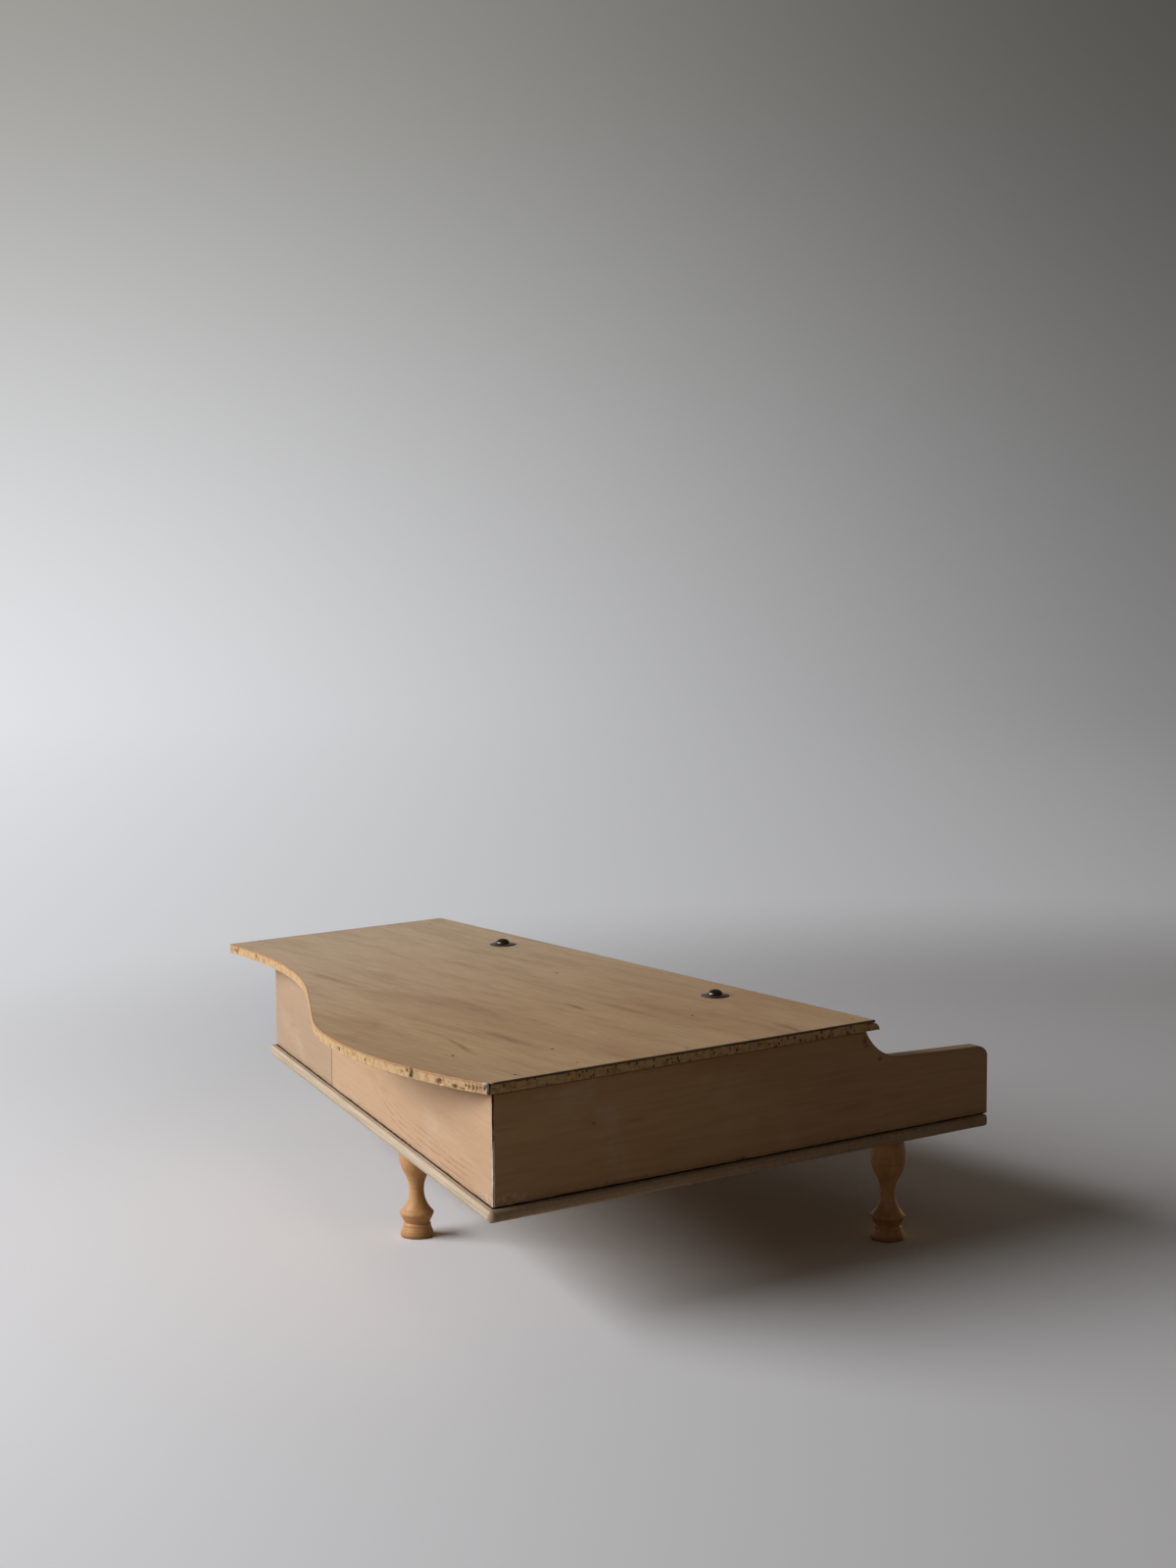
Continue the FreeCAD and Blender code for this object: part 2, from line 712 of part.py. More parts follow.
def crosswise(name, profile, left=wall, width=inner_width, rounded=None):
    """Board that runs across the case, from its section seen from the bass side."""
    body = new_body(name)
    section = sketch_on(body, "YZ_Plane")
    outline(section, profile)
    pad(body, section, width)
    if rounded:
        dress(body, "Fillet", dim("edge_round"), lambda middle, edge: (
            near(middle.z, rounded) and near(middle.x, width / 2)))
    place(body, x=left)
    return node(body, name)


def rectangle(front, rear, bottom, top):
    return [(front, bottom), (rear, bottom), (rear, top), (front, top)]


def key_frame():
    felt, strip = dim("felt_thickness"), dim("felt_width")
    slip_front = dim("slip_setback")
    slip_top = dim("slip_height")
    slip_rear = slip_front + dim("slip_thickness")
    crosswise("key_slip", rectangle(slip_front, slip_rear, 0, slip_top), rounded=slip_top)
    board_bottom = key_top + dim("fallboard_gap")
    board_rear = fallboard_front + dim("fallboard_thickness")
    board_section = rectangle(fallboard_front, board_rear, board_bottom, wall_height)
    crosswise("fallboard", board_section, rounded=board_bottom)

    felt_front = dim("key_front") + strip / 2
    sharp_felt = sharp_front + strip / 4
    felt_top = key_bottom - dim("dip")
    sharp_felt_top = key_bottom - dim("sharp_dip")
    step = sharp_felt - strip / 4
    crosswise("front_rail", [
        (felt_front, 0),
        (sharp_felt + strip, 0),
        (sharp_felt + strip, sharp_felt_top - felt),
        (step, sharp_felt_top - felt),
        (step, felt_top - felt),
        (felt_front, felt_top - felt),
    ], rail_left, rail_width)
    group("front_felt", [
        block("natural_felt", (rail_left, felt_front, felt_top - felt), (rail_width, strip, felt)),
        block("sharp_felt", (rail_left, sharp_felt, sharp_felt_top - felt), (rail_width, strip, felt)),
    ])

    half = dim("rail_depth") / 2
    rail_top = key_bottom - dim("rail_gap")
    wire = dim("wire_diameter") / 2
    lift = wire_height - rail_top
    groove = root(wire * wire - lift * lift)
    crosswise("balance_rail", [
        (fulcrum - half, 0),
        (fulcrum + half, 0),
        (fulcrum + half, rail_top),
        (fulcrum + groove, rail_top, wire, -1),
        (fulcrum, wire_height - wire, wire, -1),
        (fulcrum - groove, rail_top),
        (fulcrum - half, rail_top),
    ], rail_left, rail_width)
    wire_end = (rail_left, fulcrum, wire_height)
    node(rod("fulcrum_wire", wire, rail_width, wire_end, (1, 0, 0)), "fulcrum_wire")

    guide = fulcrum + dim("guide_reach")
    guide_rail = new_body("guide_rail")
    plan = sketch_on(guide_rail, "XY_Plane")
    outline(plan, [
        (0, guide - half),
        (inner_width, guide - half),
        (inner_width, guide + half),
        (0, guide + half),
    ])
    pad(guide_rail, plan, rail_top)
    pins = []
    for index in range(rod_count):
        foot = (tail_middle(index), guide, rail_top)
        length = key_top + dim("pin_rise") - rail_top
        pins.append(rod(f"guide_pin_{index + 1:02d}", dim("pin_diameter") / 2, length, foot))
    place(guide_rail, x=wall)
    node(guide_rail, "guide_rail")
    group("guide_pins", pins)

    rest_top = key_bottom - dim("rest_gap")
    rest_front = key_tail - strip * 3 / 2
    crosswise("back_rail", rectangle(rest_front, rest_front + strip, 0, rest_top - felt))
    node(block("back_felt", (wall, rest_front, rest_top - felt), (inner_width, strip, felt)), "back_felt")

    block_section = rectangle(slip_rear, fallboard_front, 0, key_top + dim("key_round"))
    crosswise("key_block_bass", block_section, wall, block_width)
    crosswise("key_block_treble", block_section, rail_left + rail_width, block_width)


# Keys: a wooden lever on the fulcrum wire, with a hammer on a leaf spring over its tail.
sharp_front = dim("key_front") + dim("key_head") + dim("sharp_gap")
sharp_steps = (1, 3, 6, 8, 10)


def lever_cuts(body, width):
    """Groove that rides on the fulcrum wire, and the slot that a guide pin stands in."""
    groove = sketch_on(body, "YZ_Plane")
    circle(groove, fulcrum, -dim("wire_drop"), (dim("wire_diameter") + dim("fit_gap")) / 2)
    cut_through(body, groove)
    slot = sketch_on(body, "XY_Plane")
    half = dim("pin_diameter") / 2 + dim("slot_gap")
    middle = width / 2
    long_half = dim("slot_length") / 2
    guide = fulcrum + dim("guide_reach")
    outline(slot, [
        (middle - half, guide - long_half),
        (middle + half, guide - long_half),
        (middle + half, guide + long_half),
        (middle - half, guide + long_half),
    ])
    cut_through(body, slot)


def natural_lever(name, width):
    """Plain lever that starts behind the head block."""
    neck = dim("key_front") + dim("key_head")
    body = new_body(name)
    plan = sketch_on(body, "XY_Plane")
    outline(plan, [(0, neck), (width, neck), (width, key_tail), (0, key_tail)])
    pad(body, plan, dim("key_thickness"))
    lever_cuts(body, width)
    return body


def natural_head(name, left, right):
    """Wide block for the finger, glued to the front end of the lever."""
    front = dim("key_front")
    neck = front + dim("key_head")
    thick = dim("key_thickness")
    body = new_body(name)
    plan = sketch_on(body, "XY_Plane")
    outline(plan, [(left, front), (right, front), (right, neck), (left, neck)])
    pad(body, plan, thick)
    dress(body, "Fillet", dim("key_round"), lambda middle, edge: (
        near(middle.y, front) and near(middle.z, thick)))
    return body


def sharp_lever(name, width):
    thick = dim("key_thickness")
    low = thick - dim("sharp_step")
    cap_rear = fallboard_front - dim("key_gap") * 2
    body = new_body(name)
    side = sketch_on(body, "YZ_Plane")
    outline(side, [
        (sharp_front, 0),
        (key_tail, 0),
        (key_tail, thick),
        (fallboard_front + dim("sharp_step"), thick),
        (fallboard_front, low),
        (sharp_front, low),
    ])
    pad(body, side, width)
    lever_cuts(body, width)
    cap = sketch_on(body, "YZ_Plane")
    margin = (width - dim("sharp_width")) / 2
    cap.AttachmentOffset = FreeCAD.Placement(Vector(0, 0, margin.number), FreeCAD.Rotation())
    bind(cap, "AttachmentOffset.Base.z", margin)
    high = thick + dim("sharp_rise")
    outline(cap, [
        (sharp_front, low),
        (cap_rear, low),
        (cap_rear, high),
        (sharp_front + dim("sharp_slope"), high),
    ])
    pad(body, cap, dim("sharp_width"))
    dress(body, "Fillet", dim("key_round"), lambda middle, edge: (
        middle.y < cap_rear.number and near(middle.z, high)))
    return body


def hammer(name):
    """Head on a leaf spring: its zero is under the head, on the key's top."""
    top = rod_height - dim("rod_diameter") / 2 - dim("hammer_stop") - key_top
    low = dim("hammer_float")
    thin = dim("spring_thickness")
    seat = dim("spring_reach")
    body = new_body(name)
    head = sketch_on(body, "XY_Plane")
    circle(head, 0, 0, dim("hammer_diameter") / 2)
    bind(head, "AttachmentOffset.Base.z", low)
    pad(body, head, top - low)
    dress(body, "Chamfer", dim("hammer_bevel"), lambda middle, edge: near(middle.z, top))
    spring = sketch_on(body, "YZ_Plane")
    rise = (top + low) / 2
    outline(spring, [
        (0, rise),
        (seat, 0),
        (seat + dim("spring_seat"), 0),
        (seat + dim("spring_seat"), thin),
        (seat, thin),
        (0, rise + thin),
    ])
    pad(body, spring, dim("spring_width"), middle=True)
    return body


def keys():
    natural_number = 0
    sharp_number = 0
    gap = dim("key_gap") / 2
    for index in range(rod_count):
        left, slot_width = tail_slot(index)
        width = slot_width - dim("key_gap")
        tail_left = left + gap
        if index % 12 in sharp_steps:
            sharp_number += 1
            name = f"key_black_{sharp_number:02d}"
            wood = [sharp_lever(f"{name}_lever", width)]
        else:
            head_left = key_pitch * natural_number + gap - tail_left
            head_right = head_left + key_pitch - dim("key_gap")
            natural_number += 1
            name = f"key_white_{natural_number:02d}"
            wood = [
                natural_lever(f"{name}_lever", width),
                natural_head(f"{name}_head", head_left, head_right),
            ]
        for piece in wood:
            place(piece, keys_left + tail_left, 0, key_bottom)
        striker = hammer(f"{name}_hammer")
        place(striker, tail_middle(index), fulcrum + dim("hammer_reach"), key_top)
        group(name, wood + [striker])


base_board()
for leg_name, (leg_x, leg_y) in leg_places.items():
    leg(leg_name, leg_x, leg_y)
case()
lid()
spots = list(enumerate(bolt_places, 1))
group("lid_bolts", [lid_bolt(f"lid_bolt_{number}", *spot) for number, spot in spots])
group("cup_washers", [cup_washer(f"cup_washer_{number}", *spot) for number, spot in spots])
tone_block()
tone_rods()
key_frame()
keys()

doc.recompute()
for thing in doc.Objects:
    if "Invalid" in thing.State or "Error" in thing.State:
        raise RuntimeError(f"{thing.Label} did not build: {thing.State}")
for thing in nodes:
    if thing.Shape.isNull() or not thing.Shape.isValid() or not thing.Shape.Solids:
        raise RuntimeError(f"{thing.Label} has no sound solid")
os.makedirs("parts", exist_ok=True)
for thing in nodes:
    thing.Shape.exportStep(f"parts/{thing.Label}.step")
print(len(nodes), "nodes written")
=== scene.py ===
import bpy
import math
import numpy as np
from mathutils import Matrix, Vector


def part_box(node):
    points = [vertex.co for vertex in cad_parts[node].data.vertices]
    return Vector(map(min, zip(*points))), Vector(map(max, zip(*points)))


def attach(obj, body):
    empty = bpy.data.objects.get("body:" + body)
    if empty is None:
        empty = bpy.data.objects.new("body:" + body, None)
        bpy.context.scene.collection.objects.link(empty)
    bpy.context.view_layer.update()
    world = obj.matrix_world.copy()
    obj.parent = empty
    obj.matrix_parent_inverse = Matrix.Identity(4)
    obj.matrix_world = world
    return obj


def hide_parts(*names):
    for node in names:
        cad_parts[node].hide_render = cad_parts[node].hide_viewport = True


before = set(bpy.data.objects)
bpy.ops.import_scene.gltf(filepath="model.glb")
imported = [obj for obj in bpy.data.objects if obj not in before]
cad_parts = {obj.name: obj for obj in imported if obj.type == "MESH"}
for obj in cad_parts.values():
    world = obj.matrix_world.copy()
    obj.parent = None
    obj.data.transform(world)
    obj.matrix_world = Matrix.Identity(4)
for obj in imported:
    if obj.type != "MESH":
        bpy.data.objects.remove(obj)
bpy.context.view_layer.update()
scene = bpy.context.scene
scene.view_settings.view_transform = "Standard"
mm = 0.001
zero = np.array(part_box("bass_wall")[0])  # bass wall's front corner on the base: plain measures are mm from here
print("frame loaded:", len(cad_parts), "nodes")


class Settings(dict):  # a dictionary whose entries also read as attributes
    __getattr__ = dict.__getitem__


def table(columns, **rows):  # settings for each row
    return {name: Settings(zip(columns.split(), row)) for name, row in rows.items()}


def tone(red, green, blue):  # screen colour 0..255 to the linear colour that a socket takes
    share = np.array([red, green, blue]) / 255
    linear = np.where(share <= 0.04045, share / 12.92, ((share + 0.055) / 1.055) ** 2.4)
    return (*linear.tolist(), 1.0)


def inPart(*place):  # mm from the case corner to metres in the part
    return (zero + np.array(place) * mm).tolist()


# Camera and lights, in metres and degrees
cameraSet = Settings(place=(-1.2127, 0.8515, 0.3954), turn=-126.503, tilt=6.992, roll=-0.287, lens=68.30, sensor=36)
lightSet = table(
    "place size power tone mirrored lightsFloor",
    windowLight=((0.51, 1.13, 0.73), (1.40, 0.65), 21.2, (0.985, 0.99, 1.0), True, True),
    frontFill=((0.80, -1.65, 0.60), (1.4, 0.9), 16.0, (1.0, 0.97, 0.93), False, False))
lightAim = (0, 0, 0.07)
worldSet = Settings(tone=(1.0, 0.87, 0.72), strength=0.06)


def makeCamera():
    data = bpy.data.cameras.new("photoCamera")
    data.lens, data.sensor_width = cameraSet.lens, cameraSet.sensor
    camera = bpy.data.objects.new("photoCamera", data)
    place = Matrix.Translation(cameraSet.place)
    for angle, axis in ((cameraSet.turn, "Z"), (90 - cameraSet.tilt, "X"), (cameraSet.roll, "Z")):
        place = place @ Matrix.Rotation(math.radians(angle), 4, axis)
    camera.matrix_world = place
    scene.collection.objects.link(camera)
    scene.camera = camera


def makeLights(floor):
    for name, light in lightSet.items():
        data = bpy.data.lights.new(name, "AREA")
        data.shape = "RECTANGLE"
        data.size, data.size_y = light.size
        data.energy, data.color = light.power, light.tone
        lamp = bpy.data.objects.new(name, data)
        lamp.location = light.place
        lamp.rotation_euler = (Vector(lightAim) - lamp.location).to_track_quat("-Z", "Y").to_euler()
        lamp.visible_camera, lamp.visible_glossy = False, light.mirrored
        if not light.lightsFloor:  # the fill leaves the window's shadow on the floor as it is
            spared = bpy.data.collections.new(name + "Spares")
            spared.objects.link(floor)
            spared.collection_objects[0].light_linking.link_state = "EXCLUDE"
            lamp.light_linking.receiver_collection = spared
        scene.collection.objects.link(lamp)
    world = bpy.data.worlds.new("softWorld")
    world.use_nodes = True
    background = world.node_tree.nodes["Background"].inputs
    background["Color"].default_value = (*worldSet.tone, 1)
    background["Strength"].default_value = worldSet.strength
    scene.world = world


# A shell is a list of points in mm, the corners of its cells, and for a board its marks at each point
def gridQuads(rows, columns, closed=False):  # corners of each cell of a grid, row by row
    row, column = np.meshgrid(np.arange(rows - 1), np.arange(columns if closed else columns - 1), indexing="ij")
    here, there = row * columns + column, row * columns + (column + 1) % columns
    return np.stack([here, there, there + columns, here + columns], -1).reshape(-1, 4)


def weld(points, quads):  # joins points that meet within 0.2 micron
    keys = np.round(points / 0.0002).astype(np.int64)
    _, first, same = np.unique(keys, axis=0, return_index=True, return_inverse=True)
    return first, same.reshape(-1)[quads]


def addMesh(name, points, quads, marks=None, sharp=40):  # drops the cells that a weld has closed up
    mesh = bpy.data.meshes.new(name)
    flat = [[corner for place, corner in enumerate(cell) if corner != cell[place - 1]] for cell in quads.tolist()]
    mesh.from_pydata((zero + points * mm).tolist(), [], [cell for cell in flat if len(cell) > 2])
    mesh.polygons.foreach_set("use_smooth", np.ones(len(mesh.polygons), bool))
    mesh.set_sharp_from_angle(angle=math.radians(sharp))
    for label, values in (marks or {}).items():
        mesh.attributes.new(label, "FLOAT", "POINT").data.foreach_set("value", values.astype(np.float32))
    mesh.update()
    piece = bpy.data.objects.new(name, mesh)
    scene.collection.objects.link(piece)
    return piece


def addPiece(name, shell, material, node=None, body="case", sharp=40):
    piece = addMesh(name, *shell, sharp=sharp)
    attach(piece, body)
    piece.data.materials.append(material)
    if node:
        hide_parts(node)


# Stations along an edge of a board, close together where the arris bends: p = end + r (1 - tan a), a = 45..0 degrees
def stations(low, high, inner, round):
    bend = round * (1 - np.tan(np.radians([45, 30, 15])))
    middle = np.linspace(low + round, high - round, inner) if np.isscalar(inner) else np.asarray(inner, float)
    return np.concatenate([low + bend, middle, high - bend[::-1]])


# A board is six grids on the faces of a box, welded at the edges. Each arris is rounded by
# p' = q + r (p - q) / |p - q|, where q is p held r inside the box, and form() then bends the box to its real form.
# The mark "arris" is the distance along the surface to the nearest arris, in mm, up to 25.
farOff = 25.0


def boardShell(spans, round, form=None, hole=None):
    x, y, z = axes = [stations(*span, round) for span in spans]
    low, high = np.array([(axis[0], axis[-1]) for axis in axes]).T
    faces = []

    def addFace(fixed, value, first, second, flip, pierced=False):
        a, b = np.meshgrid(first, second, indexing="ij")
        face = np.insert(np.stack([a.ravel(), b.ravel()], -1), fixed, value, axis=1)
        cells = gridQuads(len(first), len(second))
        if pierced:
            midX, midY, _ = face[cells].mean(1).T
            cells = cells[~((midX > hole[0]) & (midX < hole[1]) & (midY > hole[2]) & (midY < hole[3]))]
        faces.append((face, cells[:, ::-1] if flip else cells))

    for end, flip in ((0, False), (-1, True)):
        addFace(0, x[end], y, z, not flip)
        addFace(1, y[end], x, z, flip)
        addFace(2, z[end], x, y, not flip, hole is not None)
    outside = sum(len(face) for face, _ in faces)
    if hole is not None:
        across, along = [axis[(axis >= start - 1e-6) & (axis <= finish + 1e-6)]
                         for axis, start, finish in ((x, *hole[:2]), (y, *hole[2:]))]
        addFace(0, hole[0], along, z, False)
        addFace(0, hole[1], along, z, True)
        addFace(1, hole[2], across, z, True)
        addFace(1, hole[3], across, z, False)
    box, quads, _ = joinShells(*faces)
    gap = np.sort(np.minimum(box - low, high - box), axis=1)[:, 1]
    held = np.clip(box, low + round, high - round)
    away = box - held
    length = np.linalg.norm(away, axis=1, keepdims=True)
    soft = np.where(length > 0, held + round * away / np.where(length > 0, length, 1), box)
    soft[outside:] = box[outside:]
    first, cells = weld(soft, quads)
    soft, box, gap = soft[first], box[first], gap[first]
    if form:
        soft = np.stack(form(*soft.T, box), -1)
    return soft, cells, {"arris": np.minimum(gap, farOff)}


def joinShells(*shells):
    starts = np.cumsum([0] + [len(shell[0]) for shell in shells])
    points = np.concatenate([shell[0] for shell in shells])
    quads = np.concatenate([shell[1] + start for shell, start in zip(shells, starts)])
    marks = [shell[2]["arris"] if len(shell) > 2 else np.full(len(shell[0]), farOff) for shell in shells]
    return points, quads, {"arris": np.concatenate(marks)}


# A turned piece: (r(t) cos a, r(t) sin a, z(t)) round an upright axis; a radius of nothing closes a pole.
def turnedShell(radius, height, middle, steps, wobble=None):
    angle = np.linspace(0, 2 * np.pi, steps, endpoint=False)
    r, z = [np.repeat(np.asarray(values, float)[:, None], steps, 1) for values in (radius, height)]
    if wobble is not None:
        r = r + wobble(z, angle) * (r > 0.3)
    points = np.stack([middle[0] + r * np.cos(angle), middle[1] + r * np.sin(angle), middle[2] + z], -1).reshape(-1, 3)
    first, quads = weld(points, gridQuads(len(radius), steps, True))
    return points[first], quads


def chord(radius, away):  # half a circle's width at a distance from its middle
    return np.sqrt(np.maximum(radius ** 2 - away ** 2, 0))


# Smooth noise from a seeded lattice: bilinear in a softened cell position
def latticeNoise(u, v, seed, size=257):
    lattice = np.random.default_rng(seed).random((size, size))
    iu, iv = np.floor(u).astype(int), np.floor(v).astype(int)
    fu, fv = u - iu, v - iv
    fu, fv = fu * fu * (3 - 2 * fu), fv * fv * (3 - 2 * fv)
    a, b, c, d = [lattice[(iu + du) % size, (iv + dv) % size] for dv in (0, 1) for du in (0, 1)]
    return a * (1 - fu) * (1 - fv) + b * fu * (1 - fv) + c * (1 - fu) * fv + d * fu * fv


# Shader helpers add to the tree that newMaterial or newGroup began last
making = Settings()


def arithmetic(operation):
    return lambda one, other: calc(operation, one, other)


class Field:  # a node's output; arithmetic on it adds Math nodes
    __add__, __sub__, __mul__, __truediv__ = map(arithmetic, ("ADD", "SUBTRACT", "MULTIPLY", "DIVIDE"))

    def __init__(self, socket):
        self.socket = socket

    def __rsub__(self, other):
        return calc("SUBTRACT", other, self)

    def __abs__(self):
        return calc("ABSOLUTE", self)


def feed(socket, value):  # links a field to a socket, or sets a plain value on it
    if isinstance(value, Field):
        making.tree.links.new(value.socket, socket)
    else:
        socket.default_value = value


def putNode(kind, inputs, output=0, **settings):  # gives one output, or all of them by name
    node = making.tree.nodes.new("ShaderNode" + kind)
    for label, value in settings.items():
        setattr(node, label, value)
    for label, value in inputs.items():
        feed(node.inputs[label], value)
    return {socket.name: Field(socket) for socket in node.outputs} if output is None else Field(node.outputs[output])


def calc(operation, first, second=0.0, clamp=False):
    return putNode("Math", {0: first, 1: second}, operation=operation, use_clamp=clamp)


def vectorCalc(operation, first, second=(0, 0, 0)):
    output = "Value" if operation in ("DOT_PRODUCT", "LENGTH", "DISTANCE") else "Vector"
    return putNode("VectorMath", {0: first, 1: second}, output, operation=operation)


def blend(share, first, second, how="MIX"):  # plain colours are screen colours
    first, second = [tone(*paint) if isinstance(paint, tuple) else paint for paint in (first, second)]
    return putNode("Mix", {0: share, 6: first, 7: second}, 2, data_type="RGBA", blend_type=how)


def coat(colour, *layers):  # lays paints over a colour, each through its own mask
    for mask, paint in layers:
        colour = blend(mask, colour, paint)
    return colour


def ramp(value, low, high, first=0.0, last=1.0):
    inputs = {"Value": value, "From Min": low, "From Max": high, "To Min": first, "To Max": last}
    return putNode("MapRange", inputs, interpolation_type="SMOOTHSTEP")


def stretch(vector, scale, place=(0, 0, 0), turn=(0, 0, 0)):
    return putNode("Mapping", {"Vector": vector, "Location": place, "Rotation": turn, "Scale": scale})


def noise(vector, scale, detail, rough, twist=0.0):  # one scale, or one for each axis
    if isinstance(scale, tuple):
        vector, scale = stretch(vector, scale), 1.0
    inputs = {"Vector": vector, "Scale": scale, "Detail": detail, "Roughness": rough, "Distortion": twist}
    return putNode("TexNoise", inputs)


def axisOf(vector, axis):
    return putNode("SeparateXYZ", {0: vector}, axis)


def attribute(name):
    return putNode("Attribute", {}, "Fac", attribute_name=name)


def newGroup(name, **inputs):  # an input is given by its plain value, or by its kind
    group = making["tree"] = bpy.data.node_groups.new(name, "ShaderNodeTree")
    for label, value in inputs.items():
        kind = value if isinstance(value, str) else "Float"
        socket = group.interface.new_socket(name=label, in_out="INPUT", socket_type="NodeSocket" + kind)
        if kind == "Float":
            socket.default_value = value
    source = group.nodes.new("NodeGroupInput").outputs
    return [Field(source[label]) for label in inputs]


def endGroup(**results):
    group = making.tree
    for label, value in results.items():
        kind = "Color" if value.socket.type == "RGBA" else "Float"
        group.interface.new_socket(name=label, in_out="OUTPUT", socket_type="NodeSocket" + kind)
    sink = group.nodes.new("NodeGroupOutput").inputs
    for label, value in results.items():
        feed(sink[label], value)
    return group


def useGroup(group, *inputs, output="Mask"):  # inputs in the order of newGroup
    return putNode("Group", dict(enumerate(inputs)), output, node_tree=group)


# Grain along the vector's own x: growth figure, fibres and short dark pores
def makeWoodGrain():
    vector, light, dark, figure, fibres, pores, rings = newGroup(
        "woodGrain", Vector="Vector", Light="Color", Dark="Color", Figure=0.5, Fibres=0.4, Pores=0.3, Rings=26.0)
    growth = ramp(calc("SINE", noise(vector, (2.2, 11, 11), 2, 0.45, 0.35) * rings), -0.2, 1)
    growth = growth * noise(vector, (9, 22, 22), 4, 0.6)
    thread = ramp(noise(vector, (30, 620, 620), 3, 0.6), 0.35, 0.7)
    pore = ramp(noise(stretch(vector, (90, 1500, 1500), (3.1, 1.7, 0.4)), 1, 2, 0.5), 0.62, 0.74)
    share = calc("ADD", growth * figure + thread * fibres, pore * pores, True)
    return endGroup(Tone=blend(share, light, dark), Height=1.0 - share)


# Broken wear that fades with a distance in mm, such as the distance to an arris or a corner
def makeEdgeWear():
    vector, distance, reach, gone, scale = newGroup(
        "edgeWear", Vector="Vector", Distance=5.0, Reach=1.0, Break=0.5, Scale=140.0)
    near = calc("SUBTRACT", 1, distance / reach, True)
    cut = near + noise(vector, scale, 4, 0.65) - (gone + 0.5)
    return endGroup(Mask=ramp(cut, 0, 0.16) * ramp(near, 0, 0.12))


# Dirt that gathers on both sides of one level
def makeJointDirt():
    vector, level, reach, scale = newGroup("jointDirt", Vector="Vector", Level=0, Reach=0.001, Scale=90)
    patchy = ramp(noise(vector, scale, 5, 0.7), 0.25, 0.75, 0.5, 1.6)
    return endGroup(Mask=ramp(abs(axisOf(vector, 2) - level) / (reach * patchy), 0.55, 1, 1, 0))


# Small specks: cells whose own number is low hold one spot each
def makeFlecks():
    vector, scale, amount, size = newGroup("flecks", Vector="Vector", Scale=300, Amount=0.2, Size=0.3)
    cells = putNode("TexVoronoi", {"Vector": vector, "Scale": scale, "Randomness": 1.0}, None)
    chosen = calc("LESS_THAN", axisOf(cells["Color"], 0), amount)
    return endGroup(Mask=chosen * ramp(cells["Distance"] / size, 0.7, 1, 1, 0))


# One long soft stain at a place: exp(-(along / length)^2 - (aside / width)^2), broken up by noise
def makeSmudge():
    vector, place, turn, length, width, gone = newGroup(
        "smudge", Vector="Vector", Place="Vector", Turn=0.0, Length=0.01, Width=0.002, Break=0.5)
    away = vectorCalc("SUBTRACT", vector, place)
    local = putNode("VectorRotate", {"Vector": away, "Angle": turn}, rotation_type="Z_AXIS")
    along, aside = axisOf(local, 0) / length, axisOf(local, 1) / width
    soft = calc("EXPONENT", (along * along + aside * aside) * -1)
    patchy = ramp(noise(local, (120, 420, 420), 3, 0.6), 0.3, 0.7)
    return endGroup(Mask=soft * (patchy * gone + (1.0 - gone)))


woodGrain = makeWoodGrain()
edgeWear = makeEdgeWear()
jointDirt = makeJointDirt()
flecks = makeFlecks()
smudge = makeSmudge()


def newMaterial(name, specular=0.5, **plain):  # plain values go straight on the shader's own sockets
    material = bpy.data.materials.new(name)
    material.use_nodes = True
    making.update(material=material, tree=material.node_tree, shader=material.node_tree.nodes["Principled BSDF"])
    for label, value in {"Specular_IOR_Level": specular, **plain}.items():
        feed(making.shader.inputs[label.replace("_", " ")], value)
    return putNode("TexCoord", {}, "Object")


def endMaterial(colour, rough, relief, strength, distance):
    bump = putNode("Bump", {"Height": relief, "Strength": strength, "Distance": distance})
    for label, value in (("Base Color", colour), ("Roughness", rough), ("Normal", bump)):
        feed(making.shader.inputs[label], value)
    return making.material


def layGrain(wood, vector):  # colour and height of the grain, in a wood's own tones and amounts
    grain = useGroup(woodGrain, vector, tone(*wood.light), tone(*wood.dark), *wood.grain, output=None)
    return grain["Tone"], grain["Height"]


def wear(vector, reach, gone, scale, distance=None):  # by the distance to the nearest arris, unless another is given
    distance = distance or attribute("arris")
    return useGroup(edgeWear, vector, distance, reach, gone, scale)


def stain(vector, place, turn, length, width, gone):
    return useGroup(smudge, vector, place, turn, length * mm, width * mm, gone)


def planDistance(coords, x, y):  # mm from an upright line through a place in the plan
    away = vectorCalc("SUBTRACT", coords, inPart(x, y, 0))
    return vectorCalc("LENGTH", vectorCalc("MULTIPLY", away, (1000, 1000, 0)))


def planAlong(coords, x, y, line):  # way from a place in the plan along a line, times the line's length
    return vectorCalc("DOT_PRODUCT", vectorCalc("SUBTRACT", coords, inPart(x, y, 0)), (*line, 0))


